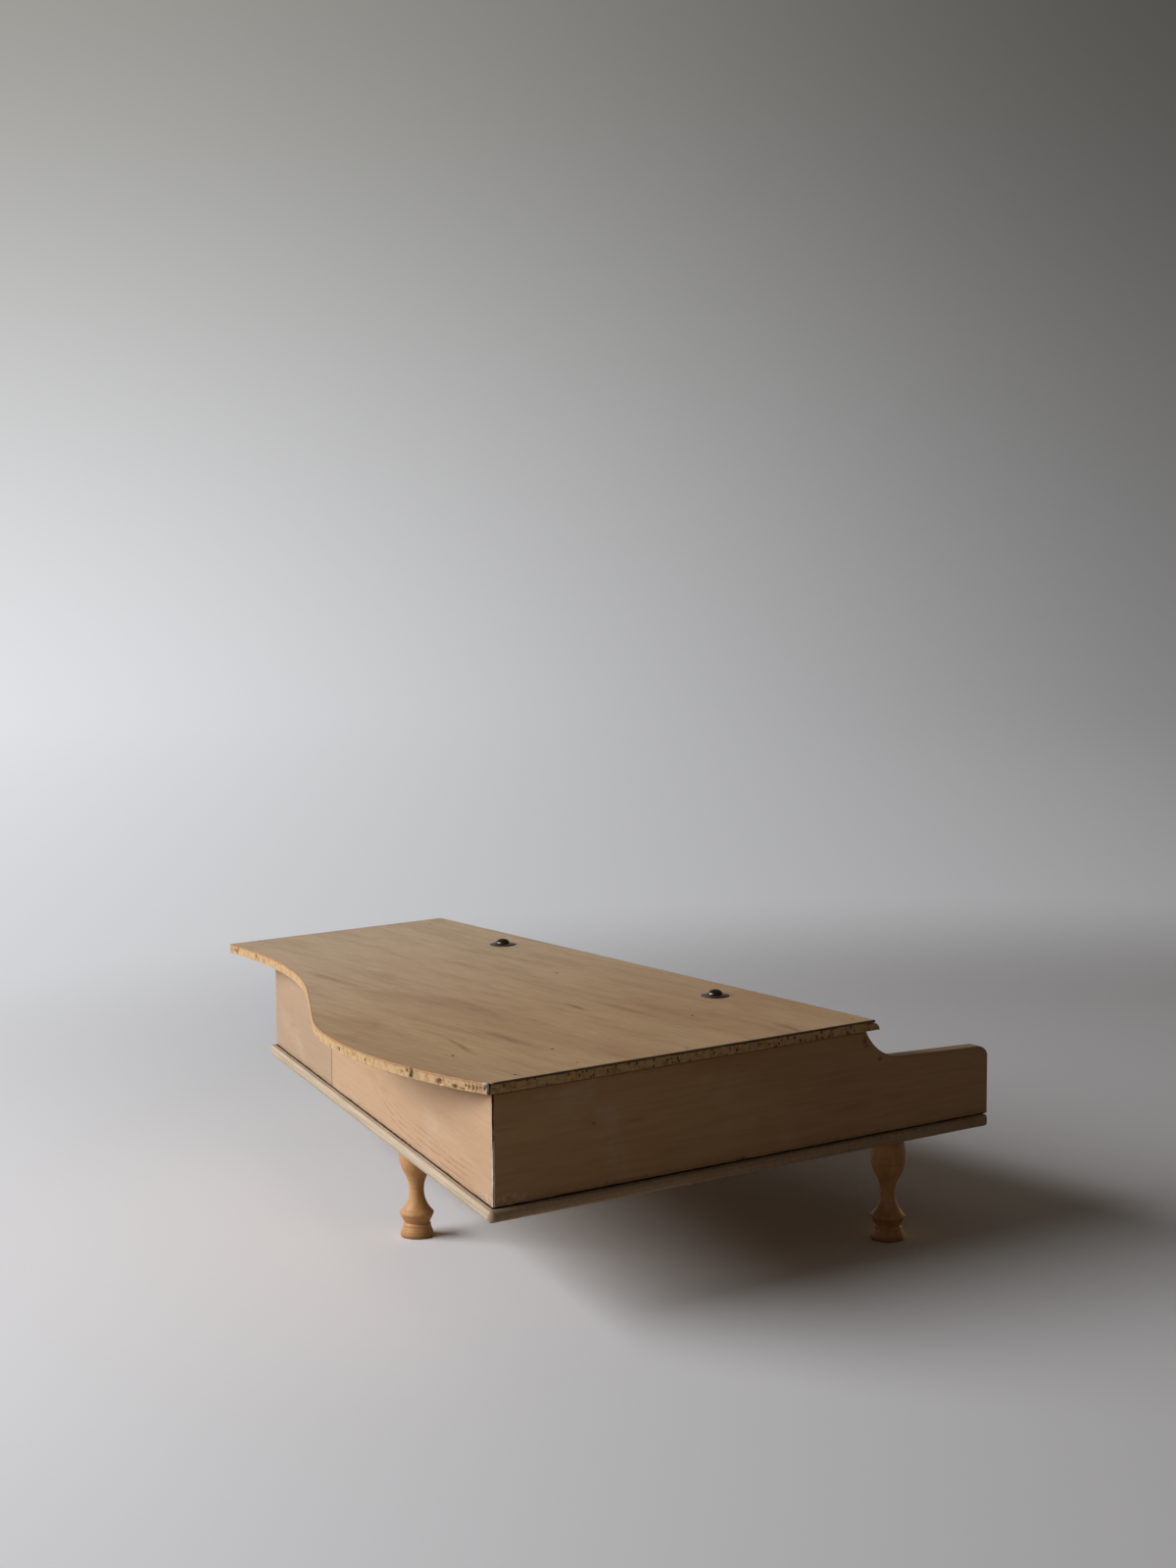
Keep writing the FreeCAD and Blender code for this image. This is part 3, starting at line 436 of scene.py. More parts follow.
# Plan of the case: the rear wall's outer face runs along y = bassLength + slope x
plan = Settings(width=353.0, bassLength=294.0, trebleLength=193.0, wall=8.0, height=50.5, shortBoard=107.0)
slope = (plan.trebleLength - plan.bassLength) / plan.width
stretchRear = math.sqrt(1 + slope * slope)
seamPlace = plan.width - plan.shortBoard
base = Settings(over=3.5, front=1.0, thick=5.5, corner=4.0, round=2.2)
lid = Settings(
    front=70.7, width=369.2, thick=5.0, bassEnd=225.2, trebleEnd=140.8, bulge=9.5, tail=245.0, shoulder=152.0,
    reach=134.0, straight=70.7, nose=3.0, crown=3.4, notch=2.4, lip=0.85, toe=0.2, round=0.45, corner=4.0, hold=60.0,
    rough=((0.16, 0.9, 1.3, 11), (0.10, 2.1, 2.3, 12)),  # depth, along, up, seed
    chips=[  # along x, half width, height of its middle, tall, deep
        (54.3, 0.5, 2.0, 1.6, 0.9), (50.5, 0.6, 3.2, 2.2, 1.2), (47.5, 0.9, 2.3, 4.2, 1.8), (28.7, 1.3, 1.8, 2.4, 1.5),
        (22.8, 0.5, 2.2, 1.0, 0.7), (19.1, 1.5, 1.0, 1.8, 1.4), (14.5, 1.6, 0.6, 0.9, 1.0), (10.8, 0.5, 2.0, 2.6, 1.1),
        (8.6, 0.5, 2.0, 2.6, 1.1), (6.5, 0.5, 2.2, 2.4, 1.0), (12.7, 0.4, 2.4, 1.8, 0.9), (4.2, 0.5, 2.6, 1.6, 0.8),
        (1.2, 0.8, 3.4, 2.6, 1.2), (112.8, 0.9, 1.6, 2.0, 1.3), (115.9, 0.8, 1.4, 1.6, 1.1),
        (138.1, 0.8, 2.8, 1.0, 0.7), (262.9, 1.2, 0.8, 1.2, 0.9), (363.5, 2.2, 1.9, 1.4, 1.2),
        (359.6, 0.6, 1.8, 2.0, 1.0), (66, 0.6, 2.6, 1.0, 0.6), (80, 0.6, 3.0, 0.8, 0.5), (96, 0.6, 2.2, 1.2, 0.7),
        (180, 0.8, 2.2, 1.0, 0.6), (228, 0.7, 2.6, 1.0, 0.6),
    ])
baseTop, wallTop, lidLevel = [inPart(0, 0, z)[2] for z in (0, plan.height, plan.height + lid.thick)]


def rearFace(x, depth=0.0):
    return plan.bassLength + slope * x - stretchRear * depth


# Lid wood: stained ply with a pale rough edge, an orange line on the arris, marks and chips, a painted sheen toward the
# treble side and painted shade on the bass side
lidSet = Settings(
    light=(206, 170, 126), dark=(166, 129, 89), grain=(0.34, 0.22, 0.16, 21.0), red=(172, 124, 82),
    edge=(214, 181, 136), edgeDark=(176, 138, 93), line=(174, 118, 66), fleck=(60, 46, 34), chip=(74, 58, 44),
    smudge=(126, 70, 37), mottle=(132, 92, 58), bleach=(224, 200, 170), white=(226, 222, 212), black=(34, 30, 28),
    marks=[  # x, y, turn, length, width, strength
        (10, 118, 0.10, 12, 1.6, 0.85), (112, 167, 0.08, 9, 1.6, 0.95), (92, 151, 0.0, 22, 3.0, 0.50),
        (71, 262, 0.25, 16, 1.3, 0.80), (74, 236, 0.05, 24, 3.5, 0.62), (248, 222, 0.0, 20, 3.0, 0.48),
        (6, 183, 0.3, 3, 0.9, 0.70), (190, 123, 0.0, 3, 0.8, 0.60), (140, 205, 0.0, 30, 4.0, 0.36),
    ])


def makeLidWood():
    coords = newMaterial("lidWood")
    aside, height, top = axisOf(coords, 0), axisOf(coords, 2), lidLevel
    colour, grainHeight = layGrain(lidSet, coords)
    rosy = noise(coords, (11, 26, 26), 4, 0.6, 0.3)
    paintedSheen = ramp(aside, inPart(70, 0, 0)[0], inPart(350, 0, 0)[0], 0, 0.62)  # painted reflection: paler to the treble side, as if a bright backdrop shone in the lid there
    blotch = noise(stretch(coords, (15, 125, 125), (1, 2, 0), (0, 0, 0.05)), 1, 5, 0.6, 0.3)
    fine = noise(coords, (75, 1000, 1000), 4, 0.7)
    stains = [stain(coords, (*inPart(x, y, 0)[:2], top), *shape, 0.6) * strength
              for x, y, *shape, strength in lidSet.marks]
    stains.append(useGroup(flecks, coords, 120, 0.05, 0.07) * 0.6)
    colour = coat(colour, (ramp(rosy, 0.46, 0.72, 0, 0.58), lidSet.red), (paintedSheen, lidSet.bleach),
                  (ramp(blotch, 0.40, 0.74, 0, 0.27), lidSet.mottle), (ramp(fine, 0.42, 0.7, 0, 0.28), lidSet.mottle),
                  *((mask, lidSet.smudge) for mask in stains))
    # the sawn edge lies below the top face
    onEdge = ramp(height, top - 0.0007, top - 0.0003, 1, 0)
    rough = noise(coords, (420, 420, 260), 4, 0.65)
    # the bass side is painted as in shade: denser dark pits on its edge, and a dark line on its top arris in place of
    # the orange one
    shadedBassSide = ramp(aside, inPart(0.6, 0, 0)[0], inPart(1.8, 0, 0)[0], 1, 0)
    pits = useGroup(flecks, stretch(coords, (1, 1, 0.7)), 520, ramp(shadedBassSide, 0, 1, 0.10, 0.36), 0.42)
    sawn = coat(lidSet.edge, (ramp(rough, 0.42, 0.72), lidSet.edgeDark), (pits * 0.75, lidSet.fleck),
                (ramp(attribute("chip"), 0.2, 1, 0, 0.62), lidSet.chip))
    line = wear(coords, 1.5, 0.24, 210) * ramp(height, top - 0.0018, top - 0.0006)
    # knocked corner at the tail: pale filler and black dirt
    corner = planDistance(coords, 0, lid.front + lid.bassEnd)
    upper = ramp(height, top - 0.0012, top - 0.0002) * wear(coords, 1.4, 0.2, 240)
    pale = wear(coords, 7, 0.50, 260, corner) * upper
    black = wear(stretch(coords, (1, 1, 1), (0.2, 0.5, 0.1)), 2.6, 0.52, 320, corner)
    colour = coat(colour, (onEdge, sawn), (line * shadedBassSide * 0.8, lidSet.fleck),
                  (line * (1.0 - shadedBassSide) * 0.7, lidSet.line), (pale * 0.9, lidSet.white), (black * 0.9, lidSet.black))
    relief = grainHeight * 0.35 + rough * onEdge * 1.4 - pits * onEdge * 1.6
    return endMaterial(colour, ramp(onEdge, 0, 1, 0.46, 0.82), relief, 0.35, 0.0004)


# Case wood: stripped boards, one recipe with its own tones and grain direction for each board
rearTurn = -15.97
caseSet = table(
    "light dark turn figure shift",
    longBoard=((205, 171, 138), (187, 149, 113), rearTurn, 0.4, (0, 0, 0)),
    shortBoard=((190, 162, 134), (173, 141, 114), rearTurn, 0.3, (2, 1, 3)),
    bassBoard=((198, 163, 126), (170, 131, 94), 90, 0.5, (5, 3, 1)),
    trebleBoard=((204, 172, 138), (182, 145, 110), 90, 0.4, (7, 2, 4)),
    frontBoard=((202, 170, 136), (178, 141, 106), 0, 0.4, (4, 6, 2)))
age = Settings(
    haze=(214, 193, 172), warm=(182, 136, 95), dirt=(46, 42, 39), chip=(26, 23, 22), paint=(228, 224, 216),
    bare=(196, 132, 74), figure=(172, 116, 82), grime=(58, 47, 37), seam=(120, 104, 90),
    spots=[  # y, z, length, width, strength: nail holes and dirt on the bass wall
        (80.4, 46.5, 1.1, 1.6, 0.85), (79.2, 43.9, 0.9, 0.9, 0.85), (70.9, 36.4, 1.3, 1.0, 0.80),
        (154.8, 1.2, 1.6, 0.8, 0.85), (158.0, 1.0, 0.9, 0.7, 0.80), (216, 28, 5.0, 0.8, 0.25),
        (240, 30, 1.0, 0.8, 0.55), (60, 18, 9.0, 1.2, 0.14),
    ])


# Growth lines that lie along the base and turn up away from the tail: sine of
# pitch (z - rise exp((along - start) / bend)) in a band, in metres
growth = Settings(start=0.1548, bend=0.026, rise=0.0053, drift=0.005, pitch=2100, uneven=5, strength=0.7)


def growthLines(coords, height):
    along = planAlong(coords, 0, plan.bassLength, (1 / stretchRear, slope / stretchRear))
    rise = calc("EXPONENT", (along - growth.start) / growth.bend)
    level = height - baseTop - rise * growth.rise + noise(coords, (9, 9, 30), 3, 0.5) * growth.drift
    uneven = noise(coords, (60, 60, 240), 3, 0.6)
    lines = ramp(calc("SINE", level * growth.pitch + uneven * growth.uneven), 0.5, 1) * ramp(uneven, 0.36, 0.6)
    band = ramp(level, 0.001, 0.006) * ramp(level, 0.010, 0.020, 1, 0) * ramp(along, 0.012, 0.05)
    return lines * band * growth.strength


def makeCaseWood(name):
    board = caseSet[name]
    coords = newMaterial(name, specular=0.3)
    height = axisOf(coords, 2)
    along = stretch(coords, (1, 1, 1), board.shift, (0, 0, math.radians(-board.turn)))
    colour, grainHeight = layGrain(Settings(board, grain=(board.figure, 0.3, 0.18, 34.0)), along)
    haze = ramp(noise(coords, (16, 16, 30), 4, 0.6, 0.4), 0.5, 0.75, 0, 0.5)
    # warmer and darker in patches over the top 11 mm of the wall, just below the lid
    under = ramp(height, wallTop - 0.011, wallTop - 0.001)
    patchyBand = ramp(noise(coords, (40, 40, 60), 4, 0.6), 0.3, 0.7, 0.1, 0.7)
    layers = [(haze, age.haze), (under * patchyBand, age.warm)]
    if name == "longBoard":
        layers.append((growthLines(coords, height), age.figure))
    if name == "bassBoard":
        side = putNode("CombineXYZ", {0: axisOf(coords, 1), 1: height})
        for y, z, length, width, strength in age.spots:
            spot = stain(side, (*inPart(0, y, z)[1:], 0), 0, length, width, 0.4)
            layers.append((spot * strength, age.dirt))
    if name in ("bassBoard", "trebleBoard"):  # painted shade: the arm's top is darkened as if in the shadow of the lid and the full-height wall
        layers.append((attribute("armTop") * 0.55, age.grime))
    if name in ("longBoard", "shortBoard"):  # grey smears on the seam between the two boards
        seam = planDistance(coords, seamPlace, rearFace(seamPlace))
        layers.append((wear(stretch(coords, (1, 1, 0.4)), 1.6, 0.42, 210, seam) * 0.6, age.seam))
    dirt = useGroup(jointDirt, coords, baseTop, 0.0007, 75)
    scuff = useGroup(jointDirt, coords, baseTop, 0.0026, 130)
    layers.append((scuff * 0.14, age.dirt))
    chipped = dirt * 0.5
    if name in ("longBoard", "bassBoard"):  # knocked upright corner at the tail, and pale residue beside it
        corner = planDistance(coords, 0, plan.bassLength)
        upright = stretch(coords, (1, 1, 0.32))
        reach = 2.3 if name == "longBoard" else 1.5
        bare = wear(upright, reach * 1.6, 0.34, 420, corner)
        pale = wear(stretch(upright, (1, 1, 1), (0.5, 0.1, 0.9)), reach * 1.2, 0.44, 460, corner)
        sparse = ramp(height, baseTop + 0.018, baseTop + 0.034, 0.66, 0.30)
        chipped = wear(stretch(upright, (1, 1, 1), (0.3, 0.7, 0.1)), reach * 0.8, sparse, 260, corner)
        low = useGroup(jointDirt, coords, baseTop + 0.0025, 0.0034, 210)
        low = low * ramp(corner, 4, 30, 0.32, 0) * ramp(noise(coords, 330, 3, 0.7), 0.42, 0.6)
        layers += [(bare * 0.8, age.bare), (pale * 0.95, age.paint), (chipped, age.chip), (low, age.paint)]
    colour = coat(colour, *layers, (dirt * 0.93, age.dirt))
    return endMaterial(colour, ramp(haze, 0, 0.5, 0.58, 0.72), grainHeight * 0.4 - chipped * 0.8, 0.3, 0.0003)


# Base wood: ply with its layers on the rounded edge
baseSet = Settings(light=(209, 194, 173), dark=(184, 164, 138), grain=(0.45, 0.6, 0.35, 24.0), layer=(158, 122, 82),
                   dirt=(46, 42, 38), arris=(140, 96, 56), brown=(142, 96, 60), plies=3)


def makeBaseWood():
    coords = newMaterial("baseWood", specular=0.3)
    height, top, low = axisOf(coords, 2), baseTop, baseTop - base.thick * mm
    colour, grainHeight = layGrain(baseSet, stretch(coords, (1, 1, 1), (1, 2, 0), (0, 0, math.radians(-rearTurn))))
    wave = noise(coords, (30, 30, 80), 3, 0.6)
    layer = calc("SINE", (top - height + wave * 0.0009) * (2 * math.pi * baseSet.plies / (base.thick * mm)))
    inside = ramp(height, low, low + 0.0008) * ramp(height, top - 0.0010, top - 0.0004, 1, 0)
    # mm outside the walls: the largest of the distances to their three outer faces
    bass, treble, rear = [planAlong(coords, x, y, (across * 1000, along * 1000)) for x, y, across, along in (
        (0, 0, -1, 0), (plan.width, 0, 1, 0), (0, plan.bassLength, -slope / stretchRear, 1 / stretchRear))]
    sides = calc("MAXIMUM", bass, treble)
    outside = calc("MAXIMUM", sides, rear)
    joint = wear(coords, 0.75, 0.16, 110, abs(outside)) * ramp(height, top - 0.0008, top - 0.0004)
    colour = coat(colour, (ramp(layer, 0.3, 1, 0, 0.28) * inside, baseSet.layer),
                  (ramp(sides - rear, -1, 2.5, 0, 0.38), baseSet.brown),
                  (wear(coords, 0.7, 0.35, 160, abs(outside - 1.9)) * 0.5, baseSet.arris), (joint * 0.94, baseSet.dirt))
    return endMaterial(colour, ramp(wave, 0.3, 0.7, 0.62, 0.76), grainHeight - layer * 0.08, 0.3, 0.0003)


# Leg wood: honey beech with upright grain and the lathe's fine lines
legSet = Settings(light=(221, 170, 116), dark=(186, 132, 81), grain=(0.5, 0.45, 0.3, 40.0), groove=(138, 90, 53))


def makeLegWood():
    coords = newMaterial("legWood", specular=0.4)
    colour, grainHeight = layGrain(legSet, stretch(coords, (1, 1, 1), (0, 0, 0), (0, math.radians(90), 0)))
    lines = noise(coords, (14, 14, 1300), 3, 0.7)
    # lathe lines, and a band that darkens towards the floor over the foot's lowest 4 mm
    colour = coat(colour, (ramp(lines, 0.5, 0.8, 0, 0.35), legSet.groove),
                  (ramp(axisOf(coords, 2), 0, 0.004, 0.55, 0), legSet.groove))
    return endMaterial(colour, ramp(lines, 0.3, 0.7, 0.42, 0.58), lines + grainHeight * 0.4, 0.22, 0.0003)


# Rail wood: plain sawn softwood inside the case
railSet = Settings(light=(206, 176, 138), dark=(172, 136, 96), grain=(0.6, 0.5, 0.2, 38.0))


def makeRailWood():
    coords = newMaterial("railWood", specular=0.3)
    colour, grainHeight = layGrain(railSet, coords)
    saw = noise(coords, (700, 60, 60), 2, 0.5)
    return endMaterial(colour, ramp(saw, 0.3, 0.7, 0.7, 0.84), saw + grainHeight, 0.25, 0.0003)


# Key paint: brushed paint, rubbed through to the wood on the arrises
paintSet = table(
    "paint shade wood rough gone",
    whiteKey=((222, 212, 190), (200, 186, 158), (176, 142, 104), 0.38, 0.80),
    blackKey=((30, 28, 27), (44, 40, 37), (92, 70, 50), 0.34, 0.92))


def makeKeyPaint(name):
    paint = paintSet[name]
    coords = newMaterial(name, specular=0.45)
    brush = noise(coords, (700, 45, 700), 3, 0.6)
    cloud = noise(coords, 65, 4, 0.6)
    rubbed = wear(coords, 1.3, paint.gone, 260)
    colour = coat(paint.paint, (ramp(cloud, 0.38, 0.7) * 0.6, paint.shade), (rubbed, paint.wood))
    return endMaterial(colour, ramp(rubbed, 0, 1, paint.rough, 0.7), brush - rubbed * 0.9, 0.16, 0.0002)


# Felt: short crossed fibres
feltSet = Settings(light=(132, 40, 40), dark=(84, 22, 24))


def makeFelt():
    coords = newMaterial("keyFelt", specular=0.15, Sheen_Weight=0.4)
    fuzz = noise(coords, (900, 2600, 2600), 3, 0.7) * noise(coords, (2600, 900, 1500), 3, 0.7)
    return endMaterial(blend(ramp(fuzz, 0.1, 0.4), feltSet.dark, feltSet.light), 0.95, fuzz, 0.6, 0.0004)


# Metals: drawn steel, cast iron, darkened bronze and rust
metalSet = table(
    "light dark spot rough grain metallic coat",
    drawnSteel=((176, 176, 178), (120, 116, 112), (112, 84, 62), (0.26, 0.5), 1500, 0.92, 0),
    castIron=((86, 86, 90), (54, 54, 58), (92, 62, 46), (0.5, 0.75), 900, 0.92, 0),
    darkBronze=((104, 86, 66), (48, 38, 29), (126, 102, 76), (0.27, 0.42), 700, 0.85, 0.5),
    rustyNail=((44, 36, 30), (26, 21, 18), (88, 56, 36), (0.6, 0.85), 900, 0.1, 0))


def makeMetal(name):
    metal = metalSet[name]
    coords = newMaterial(name, Metallic=metal.metallic, Coat_Weight=metal.coat, Coat_Roughness=0.14)
    cloud = noise(coords, 160, 4, 0.65)
    fine = noise(coords, metal.grain, 3, 0.6)
    colour = coat(metal.light, (ramp(cloud, 0.3, 0.7), metal.dark), (ramp(fine, 0.62, 0.8, 0, 0.5), metal.spot))
    return endMaterial(colour, ramp(cloud, 0.3, 0.7, *metal.rough), fine, 0.15, 0.0002)


# Stage: a pale floor that rises into a bowl, in metres. Away from the part, the camera and reflections see a glowing
# fade in place of the lit floor, with painted light: bright on the window light's side, darker away from it and
# upwards.
stage = Settings(
    rings=(0, 0.4, 1.0, 1.7), floor=2.4, bend=1.1, top=3.2, below=0.02, steps=96, floorTone=(247, 247, 250),
    bounceTone=(180, 167, 149), across=(-0.595, -0.804, 0.0), leftTone=(244, 245, 249), rightTone=(119, 118, 118),
    middle=(-0.22, -0.28, 0.0), near=0.52, far=1.0, spread=(-1.3, 1.3), rise=(-0.35, 1.25),
    dusk=(165.7389, 163.7525, 155.4765))


def makeStageTone():
    coords = newMaterial("paleStage", Roughness=0.9, specular=0.1)
    path = putNode("LightPath", {}, None)
    seen = calc("ADD", path["Is Camera Ray"] + path["Is Glossy Ray"], path["Is Transmission Ray"], True)
    feed(making.shader.inputs["Base Color"], blend(seen, stage.bounceTone, stage.floorTone))
    aside = ramp(vectorCalc("DOT_PRODUCT", coords, stage.across), *stage.spread)
    up = ramp(axisOf(coords, 2), *stage.rise)
    fade = blend(up, blend(aside, stage.leftTone, stage.rightTone), stage.dusk, "MULTIPLY")
    glow = putNode("Emission", {"Color": fade, "Strength": 1.0})
    share = seen * ramp(vectorCalc("DISTANCE", coords, stage.middle), stage.near, stage.far)
    mixed = putNode("MixShader", {0: share, 1: Field(making.shader.outputs[0]), 2: glow})
    feed(making.tree.nodes["Material Output"].inputs["Surface"], mixed)
    return making.material


def makeStage():
    bend = np.linspace(0, np.pi / 2, 14)
    radius = [*stage.rings, *(stage.floor + stage.bend * np.sin(bend)), stage.floor + stage.bend]
    height = [*np.zeros(len(stage.rings)), *(stage.bend * (1 - np.cos(bend))), stage.top]
    middle = -zero / mm - (0, 0, stage.below)
    shell = turnedShell(np.array(radius) / mm, np.array(height) / mm, middle, stage.steps)
    bowl = addMesh("paleStage", *shell, sharp=60)
    bowl.data.materials.append(makeStageTone())
    return bowl


makeCamera()
makeLights(makeStage())
print("camera, lights and stage made")

lidWood = makeLidWood()
caseWood = {name: makeCaseWood(name) for name in caseSet}
baseWood = makeBaseWood()
legWood = makeLegWood()
railWood = makeRailWood()
keyPaint = {name: makeKeyPaint(name) for name in paintSet}
keyFelt = makeFelt()
metals = {name: makeMetal(name) for name in metalSet}
print("materials made:", len(bpy.data.materials))


# Lid: y = S(x) at the rear, four tangent stretches: wide arc, tight arc, straight, hollow arc
def lidRear(x):
    crest = math.sqrt(2 * lid.tail * lid.bulge - lid.bulge ** 2)
    tailY = lid.bassEnd + lid.bulge - lid.tail
    meetY = tailY + math.sqrt(lid.tail ** 2 - (lid.reach - crest) ** 2)
    share = 1 - lid.shoulder / lid.tail
    tightX, tightY = crest + (lid.reach - crest) * share, tailY + (meetY - tailY) * share
    span = lid.width - tightX
    slant = 2 * math.atan2(tightY + lid.shoulder - lid.trebleEnd, span + lid.straight)
    hollow = (span - lid.straight * math.cos(slant)) / math.sin(slant) - lid.shoulder
    leaveX = lid.width - hollow * math.sin(slant)
    leaveY = lid.trebleEnd + hollow * (1 - math.cos(slant))
    enterX = leaveX - lid.straight * math.cos(slant)
    return np.select([x <= lid.reach, x <= enterX, x <= leaveX],
                     [tailY + chord(lid.tail, x - crest), tightY + chord(lid.shoulder, x - tightX),
                      leaveY + (leaveX - x) * math.tan(slant)], lid.trebleEnd + hollow - chord(hollow, x - lid.width))


# Top of the lid at a station behind its front: rounded bead z = toe + (crown - toe) (1 - (1 - s / nose)^2.2), then a
# wedge-shaped notch under a thin lip, then flat. The foot is where the upright line of that station starts below,
# so that the notch stays open on the lid's end faces.
def lidTop(station):
    nose, deep, under = lid.nose, lid.nose + lid.notch, lid.thick - lid.lip
    knots, behind, foot, level = np.array([
        (nose, nose, nose, lid.crown), (nose + 0.3, deep, deep, lid.crown + 0.15),
        (nose + 0.6, nose + 0.05, deep + 0.04, under), (nose + 0.75, nose - 0.05, deep + 0.08, under + 0.4),
        (nose + 0.9, nose + 0.3, deep + 0.12, lid.thick), (nose + 3, nose + 3, nose + 3, lid.thick)]).T
    bead = lid.toe + (lid.crown - lid.toe) * (1 - np.clip(1 - station / nose, 0, 1) ** 2.2)
    plain = (station <= nose) | (station > knots[-1])
    y, footY = [np.where(plain, station, np.interp(station, knots, places)) for places in (behind, foot)]
    return y, np.where(station <= nose, bead, np.interp(station, knots, level)), footY


def chipDepth(x, z):  # deepest of the chips at a place on the rear edge
    along, width, middle, tall, deep = np.array(lid.chips).T[:, :, None]
    far = ((x - along) / (width * 1.1)) ** 2 + ((z - middle) / (tall * 0.55)) ** 2
    return (deep * np.exp(-np.minimum(far, 50))).max(0)


# The lid's box takes its top, its treble corner turns by (a, b) -> (a sqrt(1 - b b / 2), b sqrt(1 - a a / 2)), its rear
# follows S(x) behind the held part, and the edges are roughened
def lidForm(x, y, z, box):
    deep = box[:, 1].max()
    topY, topZ, footY = lidTop(y)
    share = np.clip(z / lid.thick, 0, 1)
    z = share * topZ
    y = footY + (topY - footY) * np.clip((share - 0.93) / 0.045, 0, 1)
    a = np.clip((x - lid.width + lid.corner) / lid.corner, 0, 1)
    b = np.clip((lid.corner - y) / lid.corner, 0, 1)
    x = x + lid.corner * a * (np.sqrt(1 - b * b / 2) - 1)
    y = y - lid.corner * b * (np.sqrt(1 - a * a / 2) - 1)
    y = np.where(y < lid.hold, y, lid.hold + (y - lid.hold) * (lidRear(x) - lid.hold) / (deep - lid.hold))
    inset = np.minimum(z, lid.thick - z)
    onRear = (box[:, 1] > deep - 0.01) * np.clip(inset / 0.4 + 0.15, 0, 1)
    onBass = (box[:, 0] < 0.01) * np.clip(inset / 0.5, 0, 1) * (y > 6)
    rough = sum(depth * latticeNoise(x * along, z * up, seed) for depth, along, up, seed in lid.rough)
    y = y - onRear * np.maximum(rough, chipDepth(x, z))
    x = x + onBass * np.maximum(latticeNoise(y * 0.7, z * 1.1, 13) - 0.6, 0) * 1.8
    wave = 0.12 * (latticeNoise(x * 0.02, y * 0.02, 14) - 0.5)
    return x, y + lid.front, plan.height + z + wave * (z > 2.5) * (y > 8)


def makeLid():  # stations lie close where the rear edge is chipped, at the treble end and over the nose
    width, deep, r = lid.width, lid.bassEnd, lid.round
    near = np.concatenate([np.arange(r, 60, 0.46), np.arange(60, 142, 0.66)])
    xs = [*near, *np.linspace(near[-1] + 2.2, width - 8, 96), *np.arange(width - 7, width - r, 0.6)]
    nose = [r, 0.7, 1.0, 1.4, 1.8, 2.2, 2.6, 3.0, 3.3, 3.6, 3.75, 3.9, 4.8, 6.0, 7.0]
    ys = [*nose, *np.linspace(8.5, deep - 6, 90), *(deep - np.array([4, 2.4, 1.2, r]))]
    points, quads, marks = boardShell(((0, width, xs), (0, deep, ys), (0, lid.thick, 10)), r, lidForm)
    edge = points[:, 1] - lid.front > lidRear(points[:, 0]) - 2.6
    marks["chip"] = chipDepth(points[:, 0], points[:, 2] - plan.height) * edge
    addPiece("lidBoard", (points, quads, marks), lidWood, "lid")


# Side wall: top edge z = T(y): quarter round at the front, sloping arm, cove, full height. The cove is one arc that
# leaves the arm level: z = h + R - sqrt(R^2 - (y - foot)^2), R = (rise^2 + reach^2) / (2 rise)
cheek = Settings(length=79.3, height=36.0, drop=2.0, corner=6.5, reach=23.5, round=0.8, behind=81.0, plain=120.0)
cheek["foot"] = cheek.length - cheek.reach


def cheekTop(y):
    arm = cheek.height - cheek.drop
    rise = plan.height - cheek.height
    radius = (rise ** 2 + cheek.reach ** 2) / (2 * rise)
    corner = arm - cheek.corner + chord(cheek.corner, cheek.corner - y)
    slant = arm + cheek.drop * (y - cheek.corner) / (cheek.foot - cheek.corner)
    cove = cheek.height + radius - chord(radius, y - cheek.foot)
    return np.select([y < cheek.corner, y < cheek.foot, y < cheek.length], [corner, slant, cove], plan.height)


def makeSideWall(name, node, left, outerEnd, innerEnd, outerFirst, material):
    r, plain = cheek.round, cheek.plain
    front = cheek.corner * (1 - np.cos(np.linspace(0, np.pi / 2, 12)))
    ys = [*front[front > r], *np.linspace(cheek.corner + 1.5, cheek.foot - 1, 28),
          *np.linspace(cheek.foot, cheek.length, 26), cheek.length + 0.02, *np.linspace(cheek.behind, outerEnd - r, 90)]

    def form(x, y, z, box):  # past the plain part, the wall's length goes over to the mitred end
        share = x / plan.wall if outerFirst else 1 - x / plan.wall
        end = outerEnd + (innerEnd - outerEnd) * share
        y = np.where(y < plain, y, plain + (y - plain) * (end - plain) / (outerEnd - plain))
        return x + left, y, z * cheekTop(y) / plan.height

    points, quads, marks = boardShell(((0, plan.wall, 5), (0, outerEnd, ys), (0, plan.height, 26)), r, form)
    below = cheekTop(points[:, 1]) - points[:, 2]
    # armTop marks the arm's top, where shade is painted
    marks["armTop"] = np.clip(1 - below / r, 0, 1) * (points[:, 1] < cheek.length - 0.5)
    addPiece(name, (points, quads, marks), material, node)


# Rear board: lies between two plan lines, each from its outer to its inner point
rearSet = Settings(round=0.55, step=2.4)


def makeRearBoard(name, node, start, finish, material):
    long = math.dist(start[0], finish[0])
    start, finish = np.array(start, float), np.array(finish, float)

    def form(x, y, z, box):
        along, deep = (x / long)[:, None], (y / plan.wall)[:, None]
        outer, inner = [start[end] * (1 - along) + finish[end] * along for end in (0, 1)]
        return (*(outer * (1 - deep) + inner * deep).T, z)

    spans = ((0, long, int(long / rearSet.step)), (0, plan.wall, 5), (0, plan.height, 26))
    points, quads, marks = boardShell(spans, rearSet.round, form)
    addPiece(name, (points, quads[:, ::-1], marks), material, node)


def across(x, depth):  # the place a depth square behind a point of the rear face
    return (x + slope * depth / stretchRear, rearFace(x) - depth / stretchRear)


